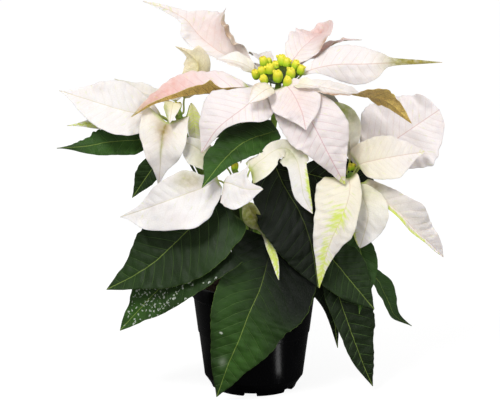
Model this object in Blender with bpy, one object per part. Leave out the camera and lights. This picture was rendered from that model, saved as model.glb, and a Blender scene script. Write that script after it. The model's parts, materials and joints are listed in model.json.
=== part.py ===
"""A white poinsettia in a round plastic nursery pot.

Lengths, points and routes are in millimetres, and make_object turns them into metres.
The origin is the middle of the pot's underside, +Z is up and -Y is the front.
Every blade, a bract or a green leaf, is one thin solid with its own stalk. It is carried
along a rib, a smooth curve through a few chosen points.
"""
import math

import bmesh
import bpy
import numpy as np

MM = 0.001
GAP = 0.3                    # clearance between pieces that touch

# Pot
POT_SIDES = 32
POT_WALL = 1.8
RIM_RADIUS = 65.0
RIM_HEIGHT = 113.0
RIM_THICK = 2.4
LIP_HEIGHT = 15.0            # depth of the thicker band under the rim
STEP_HEIGHT = 59.0           # small outward step half way up the wall
RIDGE_HEIGHT = 14.5
RIDGE_RADIUS = 51.5
FOOT_RADIUS = 43.5
FOOT_LIFT = 3.0              # clearance under the floor, inside the foot ring
FLOOR_TOP = 5.0
BOSS_RADIUS = 14.0           # flat disc in the middle of the underside
NOTCH_WIDTH = 14.0
NOTCH_COUNT = 6
NOTCH_FIRST = -95.0          # degrees, from +X towards +Y
DRAIN_RADIUS = 3.5
DRAIN_CIRCLE = 26.0
DRAIN_COUNT = 5

# Soil
SOIL_TOP = 102.0
SOIL_ROUGHNESS = 1.4
SOIL_RINGS = (52.0, 40.0, 27.0, 15.0)
TRUNK_RADIUS = 6.0
TRUNK_BOTTOM = 70.0

# Blades
BLADE_THICK = 0.8
STALK_SIZE = {"bract": (1.8, 1.3), "leaf": (2.5, 2.0)}      # width and thickness
TIP_WIDTH = 1.0
STALK_START = 3.0            # length of the straight start of a stalk, square to its stem
STALK_GAP = 0.35             # clearance between a stalk's flat end and the round stem
STALK_FADE = 0.12            # share of the rib over which the blade thins from its stalk
FOLD_RISE = 0.15             # share of the rib over which the halves turn up from flat
LOBE_REACH = 0.12            # share of the rib on each side of a lobe's corner
WAVE_START = (2.6, 0.9)      # radians, left and right margin
WIDE_BLADE = 34.0            # blades at least this wide have four strips across, others two
LONG_BLADE = 70.0

# Flowers
BUD_RADIUS = 3.7
BUD_LENGTH = 11.5
TOP_FLOWER = (25, -10, 330)
TOP_TILT = 15.0              # degrees, towards the front
TOP_BUDS = 16
TOP_SPREAD = 20.0
TOP_DROP = 9.0               # depth of the green cushion under the buds
GOLDEN_ANGLE = math.radians(137.508)

# Stems: centre line, radius at the bottom and at the top
STEMS = {
    "trunk": (((0, 0, 70), (0, 0, 105), (0, -1, 140)), 6.0, 5.6),
    "top": (((0, 0, 136), (5, 3, 180), (13, 3, 235), (21, -3, 285), (25, -7.6, 320.8)), 4.6, 3.2),
    "left": (((0, 0, 134), (-22, -1, 165), (-48, -4, 215), (-70, -11, 268), (-78, -14, 297)), 4.2, 3.0),
    "right": (((0, 0, 130), (30, -5, 152), (66, -12, 186), (92, -18, 215), (100, -20, 231)), 4.2, 3.0),
    "front": (((0, -1, 126), (-6, -24, 155), (-12, -46, 200), (-16, -58, 234)), 3.8, 3.0),
    "back": (((0, 0, 132), (4, 28, 175), (8, 56, 230), (10, 74, 280)), 3.8, 3.0),
}

# Small flower heads in the middle of the side rosettes: place, tilt direction and buds
SIDE_FLOWERS = {
    "left": ((-78, -14, 296), 4),
    "right": ((100, -20, 230), 4),
    "front": ((-16, -58, 233), 4),
    "back": ((10, 74, 279), 4),
}


def row(name, stem, height, rib, width, face, tip_face=None, fold=(14, 14), waves=2.0, wave=1.5,
        belly=0.40, point=1.35, halves=(1.0, 1.0), lobes=()):
    """One blade: where it grows, its rib, its width, and how it faces, folds and waves.

    Fold is in degrees for the left and the right half, seen from the stalk with the upper
    side up. A positive fold lifts the half. Belly is the place of the greatest width along
    the rib, and a larger point makes a longer, finer tip. Lobes are corners on the margin:
    place along the rib, side and height as a share of the half width.
    """
    kind = "leaf" if name.startswith("leaf") else "bract"
    return {"name": name, "kind": kind, "stem": stem, "height": height, "rib": rib, "width": width,
            "face": face, "tip_face": tip_face or face, "fold": fold, "waves": waves, "wave": wave,
            "belly": belly, "point": point, "halves": halves, "lobes": lobes}


TOP_BRACTS = [
    row("top_bract_left_high", "top", 300,
        ((6, 2, 327), (-14, 15, 350), (-42, 24, 376), (-70, 34, 389), (-114, 48, 397)),
        60, (0.30, -0.80, 0.50), (0.0, 0.80, 0.60), fold=(8, 14), wave=2.5, belly=0.46, point=1.7,
        halves=(1.1, 0.9)),
    row("top_bract_left_small", "top", 309,
        ((0, -5, 334), (-17, -7, 344), (-38, -9, 347)), 17, (0.0, -0.60, 0.80), point=1.2),
    row("top_bract_back_left", "top", 296,
        ((15, 14, 336), (6, 34, 350), (-6, 72, 346)), 32, (0.0, 0.20, 1.0)),
    row("top_bract_back", "top", 290,
        ((27, 16, 330), (25, 36, 333), (20, 68, 330), (15, 105, 309)), 48, (0.0, 0.30, 1.0)),
    row("top_bract_right_high", "top", 304,
        ((35, 6, 334), (47, 15, 351), (62, 26, 363), (70, 36, 366), (54, 48, 360)),
        44, (-0.25, -0.85, 0.45), (-0.7, -0.4, 0.6), fold=(12, 12), belly=0.5, point=1.1),
    row("top_bract_right_back", "top", 297,
        ((41, 8, 332), (70, 34, 348), (89, 48, 355), (112, 62, 354)), 26, (0.0, 0.1, 1.0), wave=3.0),
    row("top_bract_right", "top", 302,
        ((49, -4, 330), (78, 0, 339), (113, 1, 340), (139, 2, 341), (192, 5, 341)),
        60, (0.0, -0.92, 0.40), (0.0, 0.72, 0.70), fold=(-20, -24), belly=0.38, point=2.1),
    row("top_bract_right_front", "top", 308,
        ((47, -26, 324), (72, -38, 323), (107, -42, 316), (132, -42, 311), (159, -40, 287)),
        42, (0.0, -0.55, 0.84), (0.1, 0.82, 0.56), fold=(8, 8), belly=0.48, point=1.25,
        lobes=((0.62, -1, 0.18),)),
    row("top_bract_front_inner", "top", 312,
        ((40, -34, 326), (51, -41, 327), (66, -47, 325)), 17, (0.0, -0.55, 0.85)),
    row("top_bract_front_right", "top", 300,
        ((38, -33, 314), (47, -44, 308), (60, -55, 288), (76, -58, 257), (92, -52, 226)),
        66, (-0.12, -0.90, 0.42), fold=(-8, -8), belly=0.42, point=1.45),
    row("top_bract_front_small", "top", 309,
        ((31, -38, 322), (36, -47, 317), (43, -58, 302), (47, -65, 285)),
        42, (0.0, -0.85, 0.55), fold=(-6, -6), belly=0.40, point=1.3),
    row("top_bract_front_left", "top", 303,
        ((14, -33, 317), (2, -44, 313), (-14, -54, 303), (-37, -59, 285), (-53, -55, 260)),
        56, (-0.08, -0.86, 0.50), fold=(-6, -6), belly=0.36, point=1.5),
    row("top_bract_front_left_small", "top", 311,
        ((18, -37, 323), (8, -50, 321), (-6, -61, 311)), 22, (0.0, -0.75, 0.66), fold=(16, 16)),
    row("top_bract_left", "top", 306,
        ((-1, -16, 326), (-34, -20, 329), (-70, -24, 323), (-100, -30, 312), (-124, -38, 293)),
        46, (0.0, -0.42, 0.90), fold=(50, 26), belly=0.38, point=1.5, halves=(0.75, 1.0),
        lobes=((0.40, -1, 0.25),)),
]

LEFT_BRACTS = [
    row("left_bract_far", "left", 283,
        ((-95, -16, 290), (-116, -20, 293), (-134, -22, 297), (-164, -20, 306), (-198, -12, 315)),
        58, (0.0, -0.85, 0.52), fold=(8, 8), belly=0.40, point=1.5),
    row("left_bract_front", "left", 286,
        ((-87, -28, 290), (-94, -38, 271), (-95, -42, 253), (-97, -40, 220)),
        56, (0.0, -0.95, 0.30), fold=(16, 16), belly=0.24, point=1.35),
    row("left_bract_beak", "left", 292,
        ((-81, -24, 305), (-83, -34, 300), (-85, -44, 288)), 13, (0.0, -0.70, 0.70)),
    row("left_bract_inner", "left", 286,
        ((-64, -14, 302), (-61, -22, 287), (-59, -26, 260)), 17, (0.3, -0.90, 0.30), belly=0.55, point=0.9),
    row("left_bract_high", "left", 290,
        ((-71, -6, 306), (-60, 2, 326), (-56, 8, 345), (-66, 11, 353), (-80, 13, 356)),
        32, (0.15, 1.0, -0.05), (-0.5, 0.8, 0.4), belly=0.48, point=1.1),
    row("left_bract_back_far", "left", 280,
        ((-88, 2, 300), (-117, 18, 308), (-144, 35, 318)), 26, (0.0, -0.3, 1.0)),
    row("left_bract_back", "left", 284,
        ((-80, 2, 303), (-84, 28, 312), (-90, 60, 316)), 36, (0.0, 0.1, 1.0)),
    row("left_bract_low", "left", 274,
        ((-92, -2, 284), (-118, 12, 280), (-143, 14, 277), (-192, 10, 274)),
        26, (0.0, -0.75, 0.66), point=1.7),
]

FRONT_BRACTS = [
    row("front_bract_left", "front", 222,
        ((-32, -66, 234), (-51, -74, 227), (-76, -81, 219), (-104, -84, 208), (-134, -82, 200)),
        62, (-0.06, -0.93, 0.36), fold=(6, 6), belly=0.38, point=1.35),
    row("front_bract_upper_left", "front", 229,
        ((-27, -50, 243), (-42, -40, 250), (-66, -34, 265)), 18, (0.3, -0.90, 0.40)),
    row("front_bract_trumpet", "front", 228,
        ((-16, -68, 242), (-15, -76, 226), (-8, -80, 218), (6, -82, 224)),
        38, (0.0, -1.0, 0.20), belly=0.55, point=0.9, halves=(0.6, 1.2)),
    row("front_bract_low", "front", 216,
        ((-10, -59, 216), (-7, -60, 196), (4, -62, 179), (16, -62, 160), (25, -62, 131)),
        14, (-0.3, -0.90, 0.30), belly=0.35, point=1.4),
    row("front_bract_arch", "front", 229,
        ((-5, -64, 243), (14, -57, 256), (36, -42, 261), (46, -48, 244), (48, -60, 223), (58, -64, 198)),
        30, (0.0, -0.80, 0.60), (0.1, -1.0, 0.2), belly=0.55, point=1.1),
]

RIGHT_BRACTS = [
    row("right_bract_back", "right", 222,
        ((110, -12, 238), (126, -9, 250), (150, -4, 266), (190, 4, 292)),
        82, (0.0, -0.95, 0.30), fold=(6, 6), belly=0.50, point=0.72, wave=2.5, waves=3.0),
    row("right_bract_mid", "right", 226,
        ((113, -28, 237), (126, -32, 246), (148, -34, 251), (175, -32, 254)),
        46, (0.0, -0.92, 0.40), fold=(8, 8), belly=0.40, point=1.2),
    row("right_bract_low", "right", 217,
        ((113, -22, 224), (133, -30, 217), (159, -34, 200), (180, -34, 174), (194, -30, 144)),
        38, (-0.30, -0.80, 0.50), fold=(20, 20), belly=0.45, point=1.2),
    row("right_bract_front", "right", 220,
        ((97, -34, 227), (96, -48, 211), (89, -60, 193), (77, -69, 160), (65, -73, 124)),
        52, (0.08, -0.96, 0.28), fold=(-6, -6), belly=0.36, point=1.5, halves=(0.75, 1.2)),
    row("right_bract_front_low", "right", 209,
        ((104, -30, 218), (113, -38, 204), (116, -42, 192), (108, -44, 158)),
        42, (0.12, -0.95, 0.28), fold=(-6, -6), belly=0.42, point=0.9),
    row("right_bract_high", "right", 227,
        ((98, -12, 242), (95, -14, 274), (82, -9, 303)), 32, (0.0, 1.0, 0.1), belly=0.6, point=0.9),
    row("right_bract_back_low", "right", 216,
        ((108, -4, 232), (118, 20, 242), (130, 52, 236), (138, 80, 214)), 50, (0.1, 0.30, 1.0)),
]

BACK_BRACTS = [
    row("back_bract_middle", "back", 262,
        ((12, 88, 284), (13, 110, 292), (14, 135, 280), (16, 158, 252)), 52, (0.0, 0.5, 1.0)),
    row("back_bract_left", "back", 268,
        ((-4, 80, 285), (-29, 94, 290), (-57, 107, 283), (-86, 118, 261)), 44, (-0.3, 0.4, 1.0)),
    row("back_bract_right", "back", 270,
        ((23, 80, 286), (45, 96, 290), (75, 110, 280), (104, 118, 256)), 46, (0.3, 0.4, 1.0)),
    row("back_bract_low", "back", 252,
        ((-2, 88, 266), (-5, 108, 264), (-10, 124, 240), (-14, 128, 208)), 42, (-0.2, 0.9, 0.6)),
]

LEAVES = [
    row("leaf_upper_front", "top", 262,
        ((24, -22, 275), (11, -32, 274), (-4, -42, 271), (-19, -54, 264), (-34, -68, 251), (-52, -86, 231)),
        40, (0.0, -0.75, 0.65), fold=(8, 8), belly=0.42, point=1.2,
        lobes=((0.40, 1, 0.22), (0.72, 1, 0.25))),
    row("leaf_upper_left", "top", 250,
        ((-8, 6, 268), (-40, 10, 268), (-66, 10, 250)), 30, (0.0, -0.60, 0.80)),
    row("leaf_left_high", "left", 255,
        ((-91, -8, 268), (-115, -10, 264), (-147, -14, 262), (-172, -16, 258), (-201, -16, 256)),
        34, (0.0, -0.85, 0.55), fold=(10, 10), belly=0.42, point=1.9,
        lobes=((0.40, 1, 0.2), (0.30, -1, 0.15))),
    row("leaf_left_behind", "left", 209,
        ((-59, -23, 250), (-90, -29, 236), (-125, -28, 205)), 32, (0.1, -0.90, 0.40), belly=0.45,
        lobes=((0.72, 1, 0.3),)),
    row("leaf_left_front", "front", 178,
        ((-32, -40, 210), (-50, -52, 195), (-67, -58, 180), (-101, -62, 148), (-126, -60, 131),
         (-150, -54, 117)),
        74, (-0.10, -0.82, 0.56), fold=(5, 8), belly=0.46, point=1.15, lobes=((0.55, 1, 0.15),)),
    row("leaf_left_low", "front", 150,
        ((-43, -30, 171), (-70, -44, 144), (-97, -50, 118), (-116, -50, 99), (-137, -44, 72)),
        58, (-0.10, -0.75, 0.65), fold=(6, 6), belly=0.45, point=1.25),
    row("leaf_front_large", "trunk", 117,
        ((18, -36, 165), (14, -52, 147), (6, -68, 121), (-5, -77, 98), (-14, -80, 74), (-26, -79, 45),
         (-38, -74, 9)),
        94, (0.25, -0.90, 0.35), fold=(4, 8), belly=0.42, point=1.15, halves=(1.25, 0.93)),
    row("leaf_centre", "top", 228,
        ((18, -25, 246), (30, -38, 223), (47, -48, 195), (58, -57, 165), (65, -62, 122)),
        74, (0.06, -0.92, 0.36), fold=(6, 2), belly=0.38, point=1.2, halves=(0.6, 1.05)),
    row("leaf_right_front", "right", 165,
        ((70, -34, 159), (82, -42, 144), (99, -48, 124), (123, -46, 94)),
        52, (0.10, -0.88, 0.46), fold=(6, 6), belly=0.34, point=1.2),
    row("leaf_right_low", "right", 150,
        ((76, -34, 134), (88, -42, 103), (99, -42, 71), (116, -36, 24), (123, -30, 7)),
        56, (0.30, -0.88, 0.36), fold=(6, 10), belly=0.42, point=1.1),
    row("leaf_right_narrow", "right", 158,
        ((102, 6, 131), (131, 3, 97), (148, 1, 72), (167, -2, 57)), 30, (0.4, -0.45, 0.80), point=1.5),
    row("leaf_right_behind", "right", 186,
        ((101, -14, 173), (117, -31, 137), (111, -42, 88)), 30, (0.15, -0.90, 0.35)),
    row("leaf_right_high", "top", 205,
        ((47, 8, 224), (78, 12, 216), (112, 14, 203), (143, 14, 185)), 40, (0.0, -0.86, 0.50)),
    row("leaf_front_right", "trunk", 122,
        ((50, -8, 148), (78, -18, 98), (87, -15, 44)), 24, (0.2, -0.92, 0.30)),
    row("leaf_back_left", "trunk", 124,
        ((-34, 34, 168), (-64, 58, 152), (-92, 80, 112), (-104, 92, 72)), 62, (-0.4, 0.6, 0.7)),
    row("leaf_back_right", "trunk", 128,
        ((34, 36, 172), (62, 62, 158), (88, 86, 118), (98, 100, 78)), 62, (0.4, 0.6, 0.7)),
    row("leaf_back", "back", 150,
        ((0, 50, 176), (-2, 84, 164), (-4, 112, 120), (-6, 122, 74)), 66, (0.0, 0.8, 0.6)),
    row("leaf_back_side", "left", 185,
        ((-40, 24, 200), (-68, 46, 196), (-88, 66, 174), (-98, 84, 148)), 46, (-0.3, 0.4, 0.9)),
]


def clear_scene():
    for old in list(bpy.data.objects):
        bpy.data.objects.remove(old, do_unlink=True)


def make_material(name, colour, roughness):
    material = bpy.data.materials.new(name)
    material.use_nodes = True
    shader = material.node_tree.nodes["Principled BSDF"]
    shader.inputs["Base Color"].default_value = (*colour, 1.0)
    shader.inputs["Roughness"].default_value = roughness
    shader.inputs["Metallic"].default_value = 0.0
    return material


def make_object(name, points, faces, material, smooth_angle=35.0):
    """A mesh object from points in millimetres, with its faces turned outwards."""
    mesh = bpy.data.meshes.new(name)
    mesh.from_pydata((np.asarray(points, float) * MM).tolist(), [], faces)
    shape = bmesh.new()
    shape.from_mesh(mesh)
    bmesh.ops.recalc_face_normals(shape, faces=shape.faces)
    shape.to_mesh(mesh)
    shape.free()
    mesh.shade_smooth()
    mesh.set_sharp_from_angle(angle=math.radians(smooth_angle))
    thing = bpy.data.objects.new(name, mesh)
    bpy.context.scene.collection.objects.link(thing)
    thing.data.materials.append(material)
    return thing


def apply_modifiers(thing):
    """Replace the object's mesh by what its modifiers make of it."""
    view = bpy.context.evaluated_depsgraph_get()
    made = bpy.data.meshes.new_from_object(thing.evaluated_get(view))
    thing.modifiers.clear()
    thing.data = made


def boolean(thing, others, operation):
    """Join or cut one object with all the others, which are then removed."""
    group = bpy.data.collections.new(thing.name + "_tools")
    bpy.context.scene.collection.children.link(group)
    for other in others:
        group.objects.link(other)
    change = thing.modifiers.new("change", "BOOLEAN")
    change.operation = operation
    change.operand_type = "COLLECTION"
    change.collection = group
    change.solver = "EXACT"
    apply_modifiers(thing)
    for other in others:
        bpy.data.objects.remove(other, do_unlink=True)
    bpy.data.collections.remove(group)


def unit(vectors):
    return vectors / np.linalg.norm(vectors, axis=-1, keepdims=True)


def route_through(points, samples=24):
    """A smooth curve through the points, the length travelled, and where each point lies."""
    points = np.array(points, float)
    spans = np.linalg.norm(np.diff(points, axis=0), axis=1)
    knots = np.concatenate(([0.0], np.cumsum(np.sqrt(spans))))
    slopes = np.gradient(points, knots, axis=0)
    place = np.linspace(0.0, knots[-1], samples * len(spans) + 1)
    span = np.clip(np.searchsorted(knots, place, side="right") - 1, 0, len(spans) - 1)
    width = (knots[span + 1] - knots[span])[:, None]
    part = (place - knots[span])[:, None] / width
    line = ((1 + 2 * part) * (1 - part) ** 2 * points[span]
            + part * (1 - part) ** 2 * width * slopes[span]
            + part ** 2 * (3 - 2 * part) * points[span + 1]
            + part ** 2 * (part - 1) * width * slopes[span + 1])
    travel = np.concatenate(([0.0], np.cumsum(np.linalg.norm(np.diff(line, axis=0), axis=1))))
    return line, travel, np.interp(knots, place, travel)


def along(line, travel, stations):
    return np.stack([np.interp(stations, travel, line[:, axis]) for axis in range(3)], axis=1)


def stem_at(stem, height):
    """Centre, direction and radius of a stem where its centre line reaches a height."""
    points, low_radius, high_radius = STEMS[stem]
    line, travel, _ = route_through(points)
    station = np.interp(height, line[:, 2], travel)
    near = along(line, travel, np.array([station - 1.0, station, station + 1.0]))
    radius = low_radius + (high_radius - low_radius) * station / travel[-1]
    return near[1], unit(near[2] - near[0]), radius


def stalk_start(stem, height, target):
    """Two points: on the stem's skin towards the target, and a little way out from it."""
    centre, upward, radius = stem_at(stem, height)
    outward = np.array(target, float) - centre
    outward = unit(outward - upward * np.dot(outward, upward))
    skin = centre + outward * (radius + STALK_GAP)
    return skin, skin + outward * STALK_START


def outline(place, belly, point):
    """Share of the full width at each place along the rib, 1 at the belly."""
    rise = point * belly / (1 - belly)
    inside = np.clip(place, 0.0, 1.0)
    shape = inside ** rise * (1 - inside) ** point
    return shape / (belly ** rise * (1 - belly) ** point)


def blade_surface(blade, rows, columns):
    """Middle surface of a blade as a grid of points, and its thickness at each row.

    The first two rows are the straight start of the stalk. Each half of the blade turns up
    from the rib by its fold, and the margin rises and falls in waves.
    """
    start, second = stalk_start(blade["stem"], blade["height"], blade["rib"][0])
    line, travel, places = route_through([start, second, *blade["rib"]])
    place = np.linspace(0.0, 1.0, rows)
    stations = np.concatenate((places[:2], places[2] + (travel[-1] - places[2]) * place))
    place = np.concatenate(((0.0, 0.0), place))
    rib = along(line, travel, stations)
    ahead = unit(np.gradient(rib, stations, axis=0))
    ahead[0] = unit(second - start)
    turning = (place ** 2 * (3 - 2 * place))[:, None]
    upper = (1 - turning) * unit(np.array(blade["face"])) + turning * unit(np.array(blade["tip_face"]))
    upper = unit(upper - ahead * np.sum(upper * ahead, axis=1, keepdims=True))
    right = np.cross(ahead, upper)
    stalk_width, stalk_thick = STALK_SIZE[blade["kind"]]
    narrow = stalk_width + (TIP_WIDTH - stalk_width) * place
    share = outline(place, blade["belly"], blade["point"])
    grid = np.zeros((len(place), columns, 3))
    for column, across in enumerate(np.linspace(-1.0, 1.0, columns)):
        side = 1 if across > 0 else 0
        half = 0.5 * (narrow + (blade["width"] * blade["halves"][side] - narrow) * share)
        for lobe_place, lobe_side, lobe_height in blade["lobes"]:
            if (lobe_side > 0) == (across > 0):
                half = half * (1 + lobe_height * np.clip(1 - np.abs(place - lobe_place) / LOBE_REACH, 0, 1))
        reach = abs(across) * half
        fold = math.radians(blade["fold"][side]) * np.clip(place / FOLD_RISE, 0, 1)
        swing = 2 * math.pi * blade["waves"] * place + WAVE_START[side]
        lift = blade["wave"] * np.sin(swing) * across ** 2 * np.sqrt(share)
        grid[:, column] = (rib + right * (np.sign(across) * reach * np.cos(fold))[:, None]
                           + upper * (reach * np.sin(fold) + lift)[:, None])
    thick = BLADE_THICK + (stalk_thick - BLADE_THICK) * np.clip(1 - place / STALK_FADE, 0, 1)
    return grid, thick


def solid_from_surface(grid, thick):
    """Points and triangles of a thin solid around a grid, its two faces split alike."""
    rows, columns, _ = grid.shape
    facing = unit(np.cross(np.gradient(grid, axis=1), np.gradient(grid, axis=0)))
    offset = facing * (0.5 * thick)[:, None, None]
    points = np.concatenate(((grid + offset).reshape(-1, 3), (grid - offset).reshape(-1, 3)))
    under = rows * columns
    faces = []
    for i in range(rows - 1):
        for j in range(columns - 1):
            a, b = i * columns + j, i * columns + j + 1
            c, d = b + columns, a + columns
            faces += [(a, b, c), (a, c, d)]
            faces += [(under + a, under + c, under + b), (under + a, under + d, under + c)]
        for edge in (i * columns, i * columns + columns - 1):
            far = edge + columns
            faces += [(edge, far, under + far), (edge, under + far, under + edge)]
    for first in (0, (rows - 1) * columns):
        for a in range(first, first + columns - 1):
            faces += [(a, a + 1, under + a + 1), (a, under + a + 1, under + a)]
    return points, faces


def make_blade(blade, material):
    columns = 5 if blade["width"] >= WIDE_BLADE else 3
    rib = np.array(blade["rib"], float)
    length = np.sum(np.linalg.norm(np.diff(rib, axis=0), axis=1))
    rows = 8 if length >= LONG_BLADE else 6
    grid, thick = blade_surface(blade, rows, columns)
    points, faces = solid_from_surface(grid, thick)
    return make_object(blade["name"], points, faces, material)


def turned(name, profile, sides, material):
    """A solid turned round Z from a profile of (radius, height) that starts and ends on the axis."""
    rings = []
    points = []
    for radius, height in profile:
        if radius == 0.0:
            rings.append([len(points)])
            points.append((0.0, 0.0, height))
            continue
        rings.append(list(range(len(points), len(points) + sides)))
        for k in range(sides):
            angle = 2 * math.pi * k / sides
            points.append((radius * math.cos(angle), radius * math.sin(angle), height))
    faces = []
    for low, high in zip(rings, rings[1:]):
        for k in range(sides):
            after = (k + 1) % sides
            if len(low) == 1:
                faces.append((low[0], high[k], high[after]))
            elif len(high) == 1:
                faces.append((low[k], low[after], high[0]))
            else:
                faces.append((low[k], low[after], high[after], high[k]))
    return make_object(name, points, faces, material)


def wall_radius(height):
    """Outer radius of the pot's wall at a height above its ridge."""
    top = RIM_RADIUS - 2.0
    slope = (top - 0.8 - RIDGE_RADIUS) / (RIM_HEIGHT - LIP_HEIGHT - RIDGE_HEIGHT)
    step = 0.8 if height > STEP_HEIGHT else 0.0
    return RIDGE_RADIUS + slope * (height - RIDGE_HEIGHT) + step


def make_pot(material):
    lip = RIM_HEIGHT - LIP_HEIGHT
    profile = [
        (0.0, 0.0), (BOSS_RADIUS, 0.0), (BOSS_RADIUS + 1.5, FOOT_LIFT), (FOOT_RADIUS - 6.5, FOOT_LIFT),
        (FOOT_RADIUS - 5.0, 0.0), (FOOT_RADIUS, 0.0), (FOOT_RADIUS + 1.5, 4.0),
        (RIDGE_RADIUS - 0.8, RIDGE_HEIGHT - 2.0), (RIDGE_RADIUS, RIDGE_HEIGHT),
        (wall_radius(STEP_HEIGHT - 0.5), STEP_HEIGHT - 0.5),
        (wall_radius(STEP_HEIGHT + 0.5), STEP_HEIGHT + 0.5),
        (wall_radius(lip - 1.5), lip - 1.5), (RIM_RADIUS, lip), (RIM_RADIUS, RIM_HEIGHT - 1.0),
        (RIM_RADIUS - 1.0, RIM_HEIGHT), (RIM_RADIUS - RIM_THICK, RIM_HEIGHT),
        (RIM_RADIUS - RIM_THICK, lip), (wall_radius(lip - 3.0) - POT_WALL, lip - 3.0),
        (wall_radius(STEP_HEIGHT) - POT_WALL, STEP_HEIGHT - 1.0),
        (RIDGE_RADIUS - POT_WALL, RIDGE_HEIGHT), (FOOT_RADIUS, FLOOR_TOP), (0.0, FLOOR_TOP)]
    pot = turned("pot", profile, POT_SIDES, material)
    cutters = []
    for k in range(NOTCH_COUNT):
        angle = math.radians(NOTCH_FIRST) + 2 * math.pi * k / NOTCH_COUNT
        box = [(x, y, z) for x in (FOOT_RADIUS - 9.0, FOOT_RADIUS + 5.0)
               for y in (-NOTCH_WIDTH / 2, NOTCH_WIDTH / 2) for z in (-2.0, FOOT_LIFT)]
        corners = [(x * math.cos(angle) - y * math.sin(angle), x * math.sin(angle) + y * math.cos(angle), z)
                   for x, y, z in box]
        sides = [(0, 1, 3, 2), (4, 6, 7, 5), (0, 4, 5, 1), (2, 3, 7, 6), (0, 2, 6, 4), (1, 5, 7, 3)]
        cutters.append(make_object(f"notch_{k}", corners, sides, material))
    for k in range(DRAIN_COUNT):
        angle = 2 * math.pi * k / DRAIN_COUNT
        hole = turned(f"drain_{k}", [(0.0, -1.0), (DRAIN_RADIUS, -1.0), (DRAIN_RADIUS, FLOOR_TOP + 1.0),
                                     (0.0, FLOOR_TOP + 1.0)], 8, material)
        hole.location = (DRAIN_CIRCLE * math.cos(angle) * MM, DRAIN_CIRCLE * math.sin(angle) * MM, 0.0)
        cutters.append(hole)
    bpy.context.view_layer.update()
    boolean(pot, cutters, "DIFFERENCE")


def make_soil(material):
    """Soil that fills the pot, with a rough top and a plain hole for the trunk."""
    hole = TRUNK_RADIUS + GAP
    lip = RIM_HEIGHT - LIP_HEIGHT
    inset = POT_WALL + 2 * GAP
    inner = [(FOOT_RADIUS - 1.0, FLOOR_TOP + GAP), (RIDGE_RADIUS - inset, RIDGE_HEIGHT + 0.4),
             (wall_radius(STEP_HEIGHT - 1.5) - inset, STEP_HEIGHT - 1.0),
             (wall_radius(lip - 3.0) - inset, lip - 3.0), (RIM_RADIUS - RIM_THICK - 2 * GAP, lip + 0.5)]
    top = [(RIM_RADIUS - RIM_THICK - 2 * GAP, SOIL_TOP - 1.0), *((r, SOIL_TOP) for r in SOIL_RINGS),
           (hole, SOIL_TOP)]
    profile = [(0.0, FLOOR_TOP + GAP), *inner, *top, (hole, TRUNK_BOTTOM - GAP), (0.0, TRUNK_BOTTOM - GAP)]
    soil = turned("soil", profile, 20, material)
    wobble = np.random.default_rng(7)
    for vertex in soil.data.vertices:
        radius = math.hypot(vertex.co.x, vertex.co.y) / MM
        if abs(vertex.co.z / MM - SOIL_TOP) < 0.01 and radius > SOIL_RINGS[-1] - 1.0:
            vertex.co.z += SOIL_ROUGHNESS * MM * wobble.uniform(-1.0, 1.0)


def tube(name, points, low_radius, high_radius, sides, rows, material):
    """A tapered round stem along a smooth route."""
    line, travel, _ = route_through(points)
    stations = np.linspace(0.0, travel[-1], rows)
    centre = along(line, travel, stations)
    ahead = unit(np.gradient(centre, stations, axis=0))
    across = unit(np.cross(ahead, np.array([0.3, 1.0, 0.1])))
    over = np.cross(ahead, across)
    radius = np.linspace(low_radius, high_radius, rows)
    points = []
    for i in range(rows):
        for k in range(sides):
            angle = 2 * math.pi * k / sides
            points.append(centre[i] + radius[i] * (math.cos(angle) * across[i] + math.sin(angle) * over[i]))
    faces = []
    for low in range(0, (rows - 1) * sides, sides):
        for k in range(sides):
            after = (k + 1) % sides
            faces.append((low + k, low + after, low + sides + after, low + sides + k))
    faces += [tuple(range(sides - 1, -1, -1)), tuple((rows - 1) * sides + k for k in range(sides))]
    return make_object(name, points, faces, material)


def bud(name, foot, direction, radius, length, sides, material):
    """A barrel-shaped flower bud that stands on a point and leans along a direction."""
    profile = [(0.0, 0.0), (0.62 * radius, 0.0), (radius, 0.45 * length), (0.94 * radius, 0.75 * length),
               (0.55 * radius, 0.97 * length), (0.0, length)]
    made = turned(name, profile, sides, material)
    axis = unit(np.array(direction, float))
    across = unit(np.cross(np.array([0.0, 1.0, 0.0]), axis))
    over = np.cross(axis, across)
    for vertex in made.data.vertices:
        x, y, z = (value / MM for value in vertex.co)
        vertex.co = (np.array(foot) + x * across + y * over + z * axis) * MM
    return made


def flower_buds(prefix, centre, tilt, count, spread, splay, radius, length, sides, material):
    """Buds packed by the golden angle on a disc that tilts to the front."""
    lean = math.radians(tilt)
    axis = np.array([0.0, -math.sin(lean), math.cos(lean)])
    across = np.array([1.0, 0.0, 0.0])
    over = np.cross(axis, across)
    made = []
    for k in range(count):
        ring = math.sqrt((k + 0.35) / count)
        angle = GOLDEN_ANGLE * k + 0.6
        outward = math.cos(angle) * across + math.sin(angle) * over
        foot = np.array(centre) + spread * ring * outward
        lean_out = axis + splay * ring * outward
        made.append(bud(f"{prefix}_{k}", foot, lean_out, radius, length, sides, material))
    return made


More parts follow.
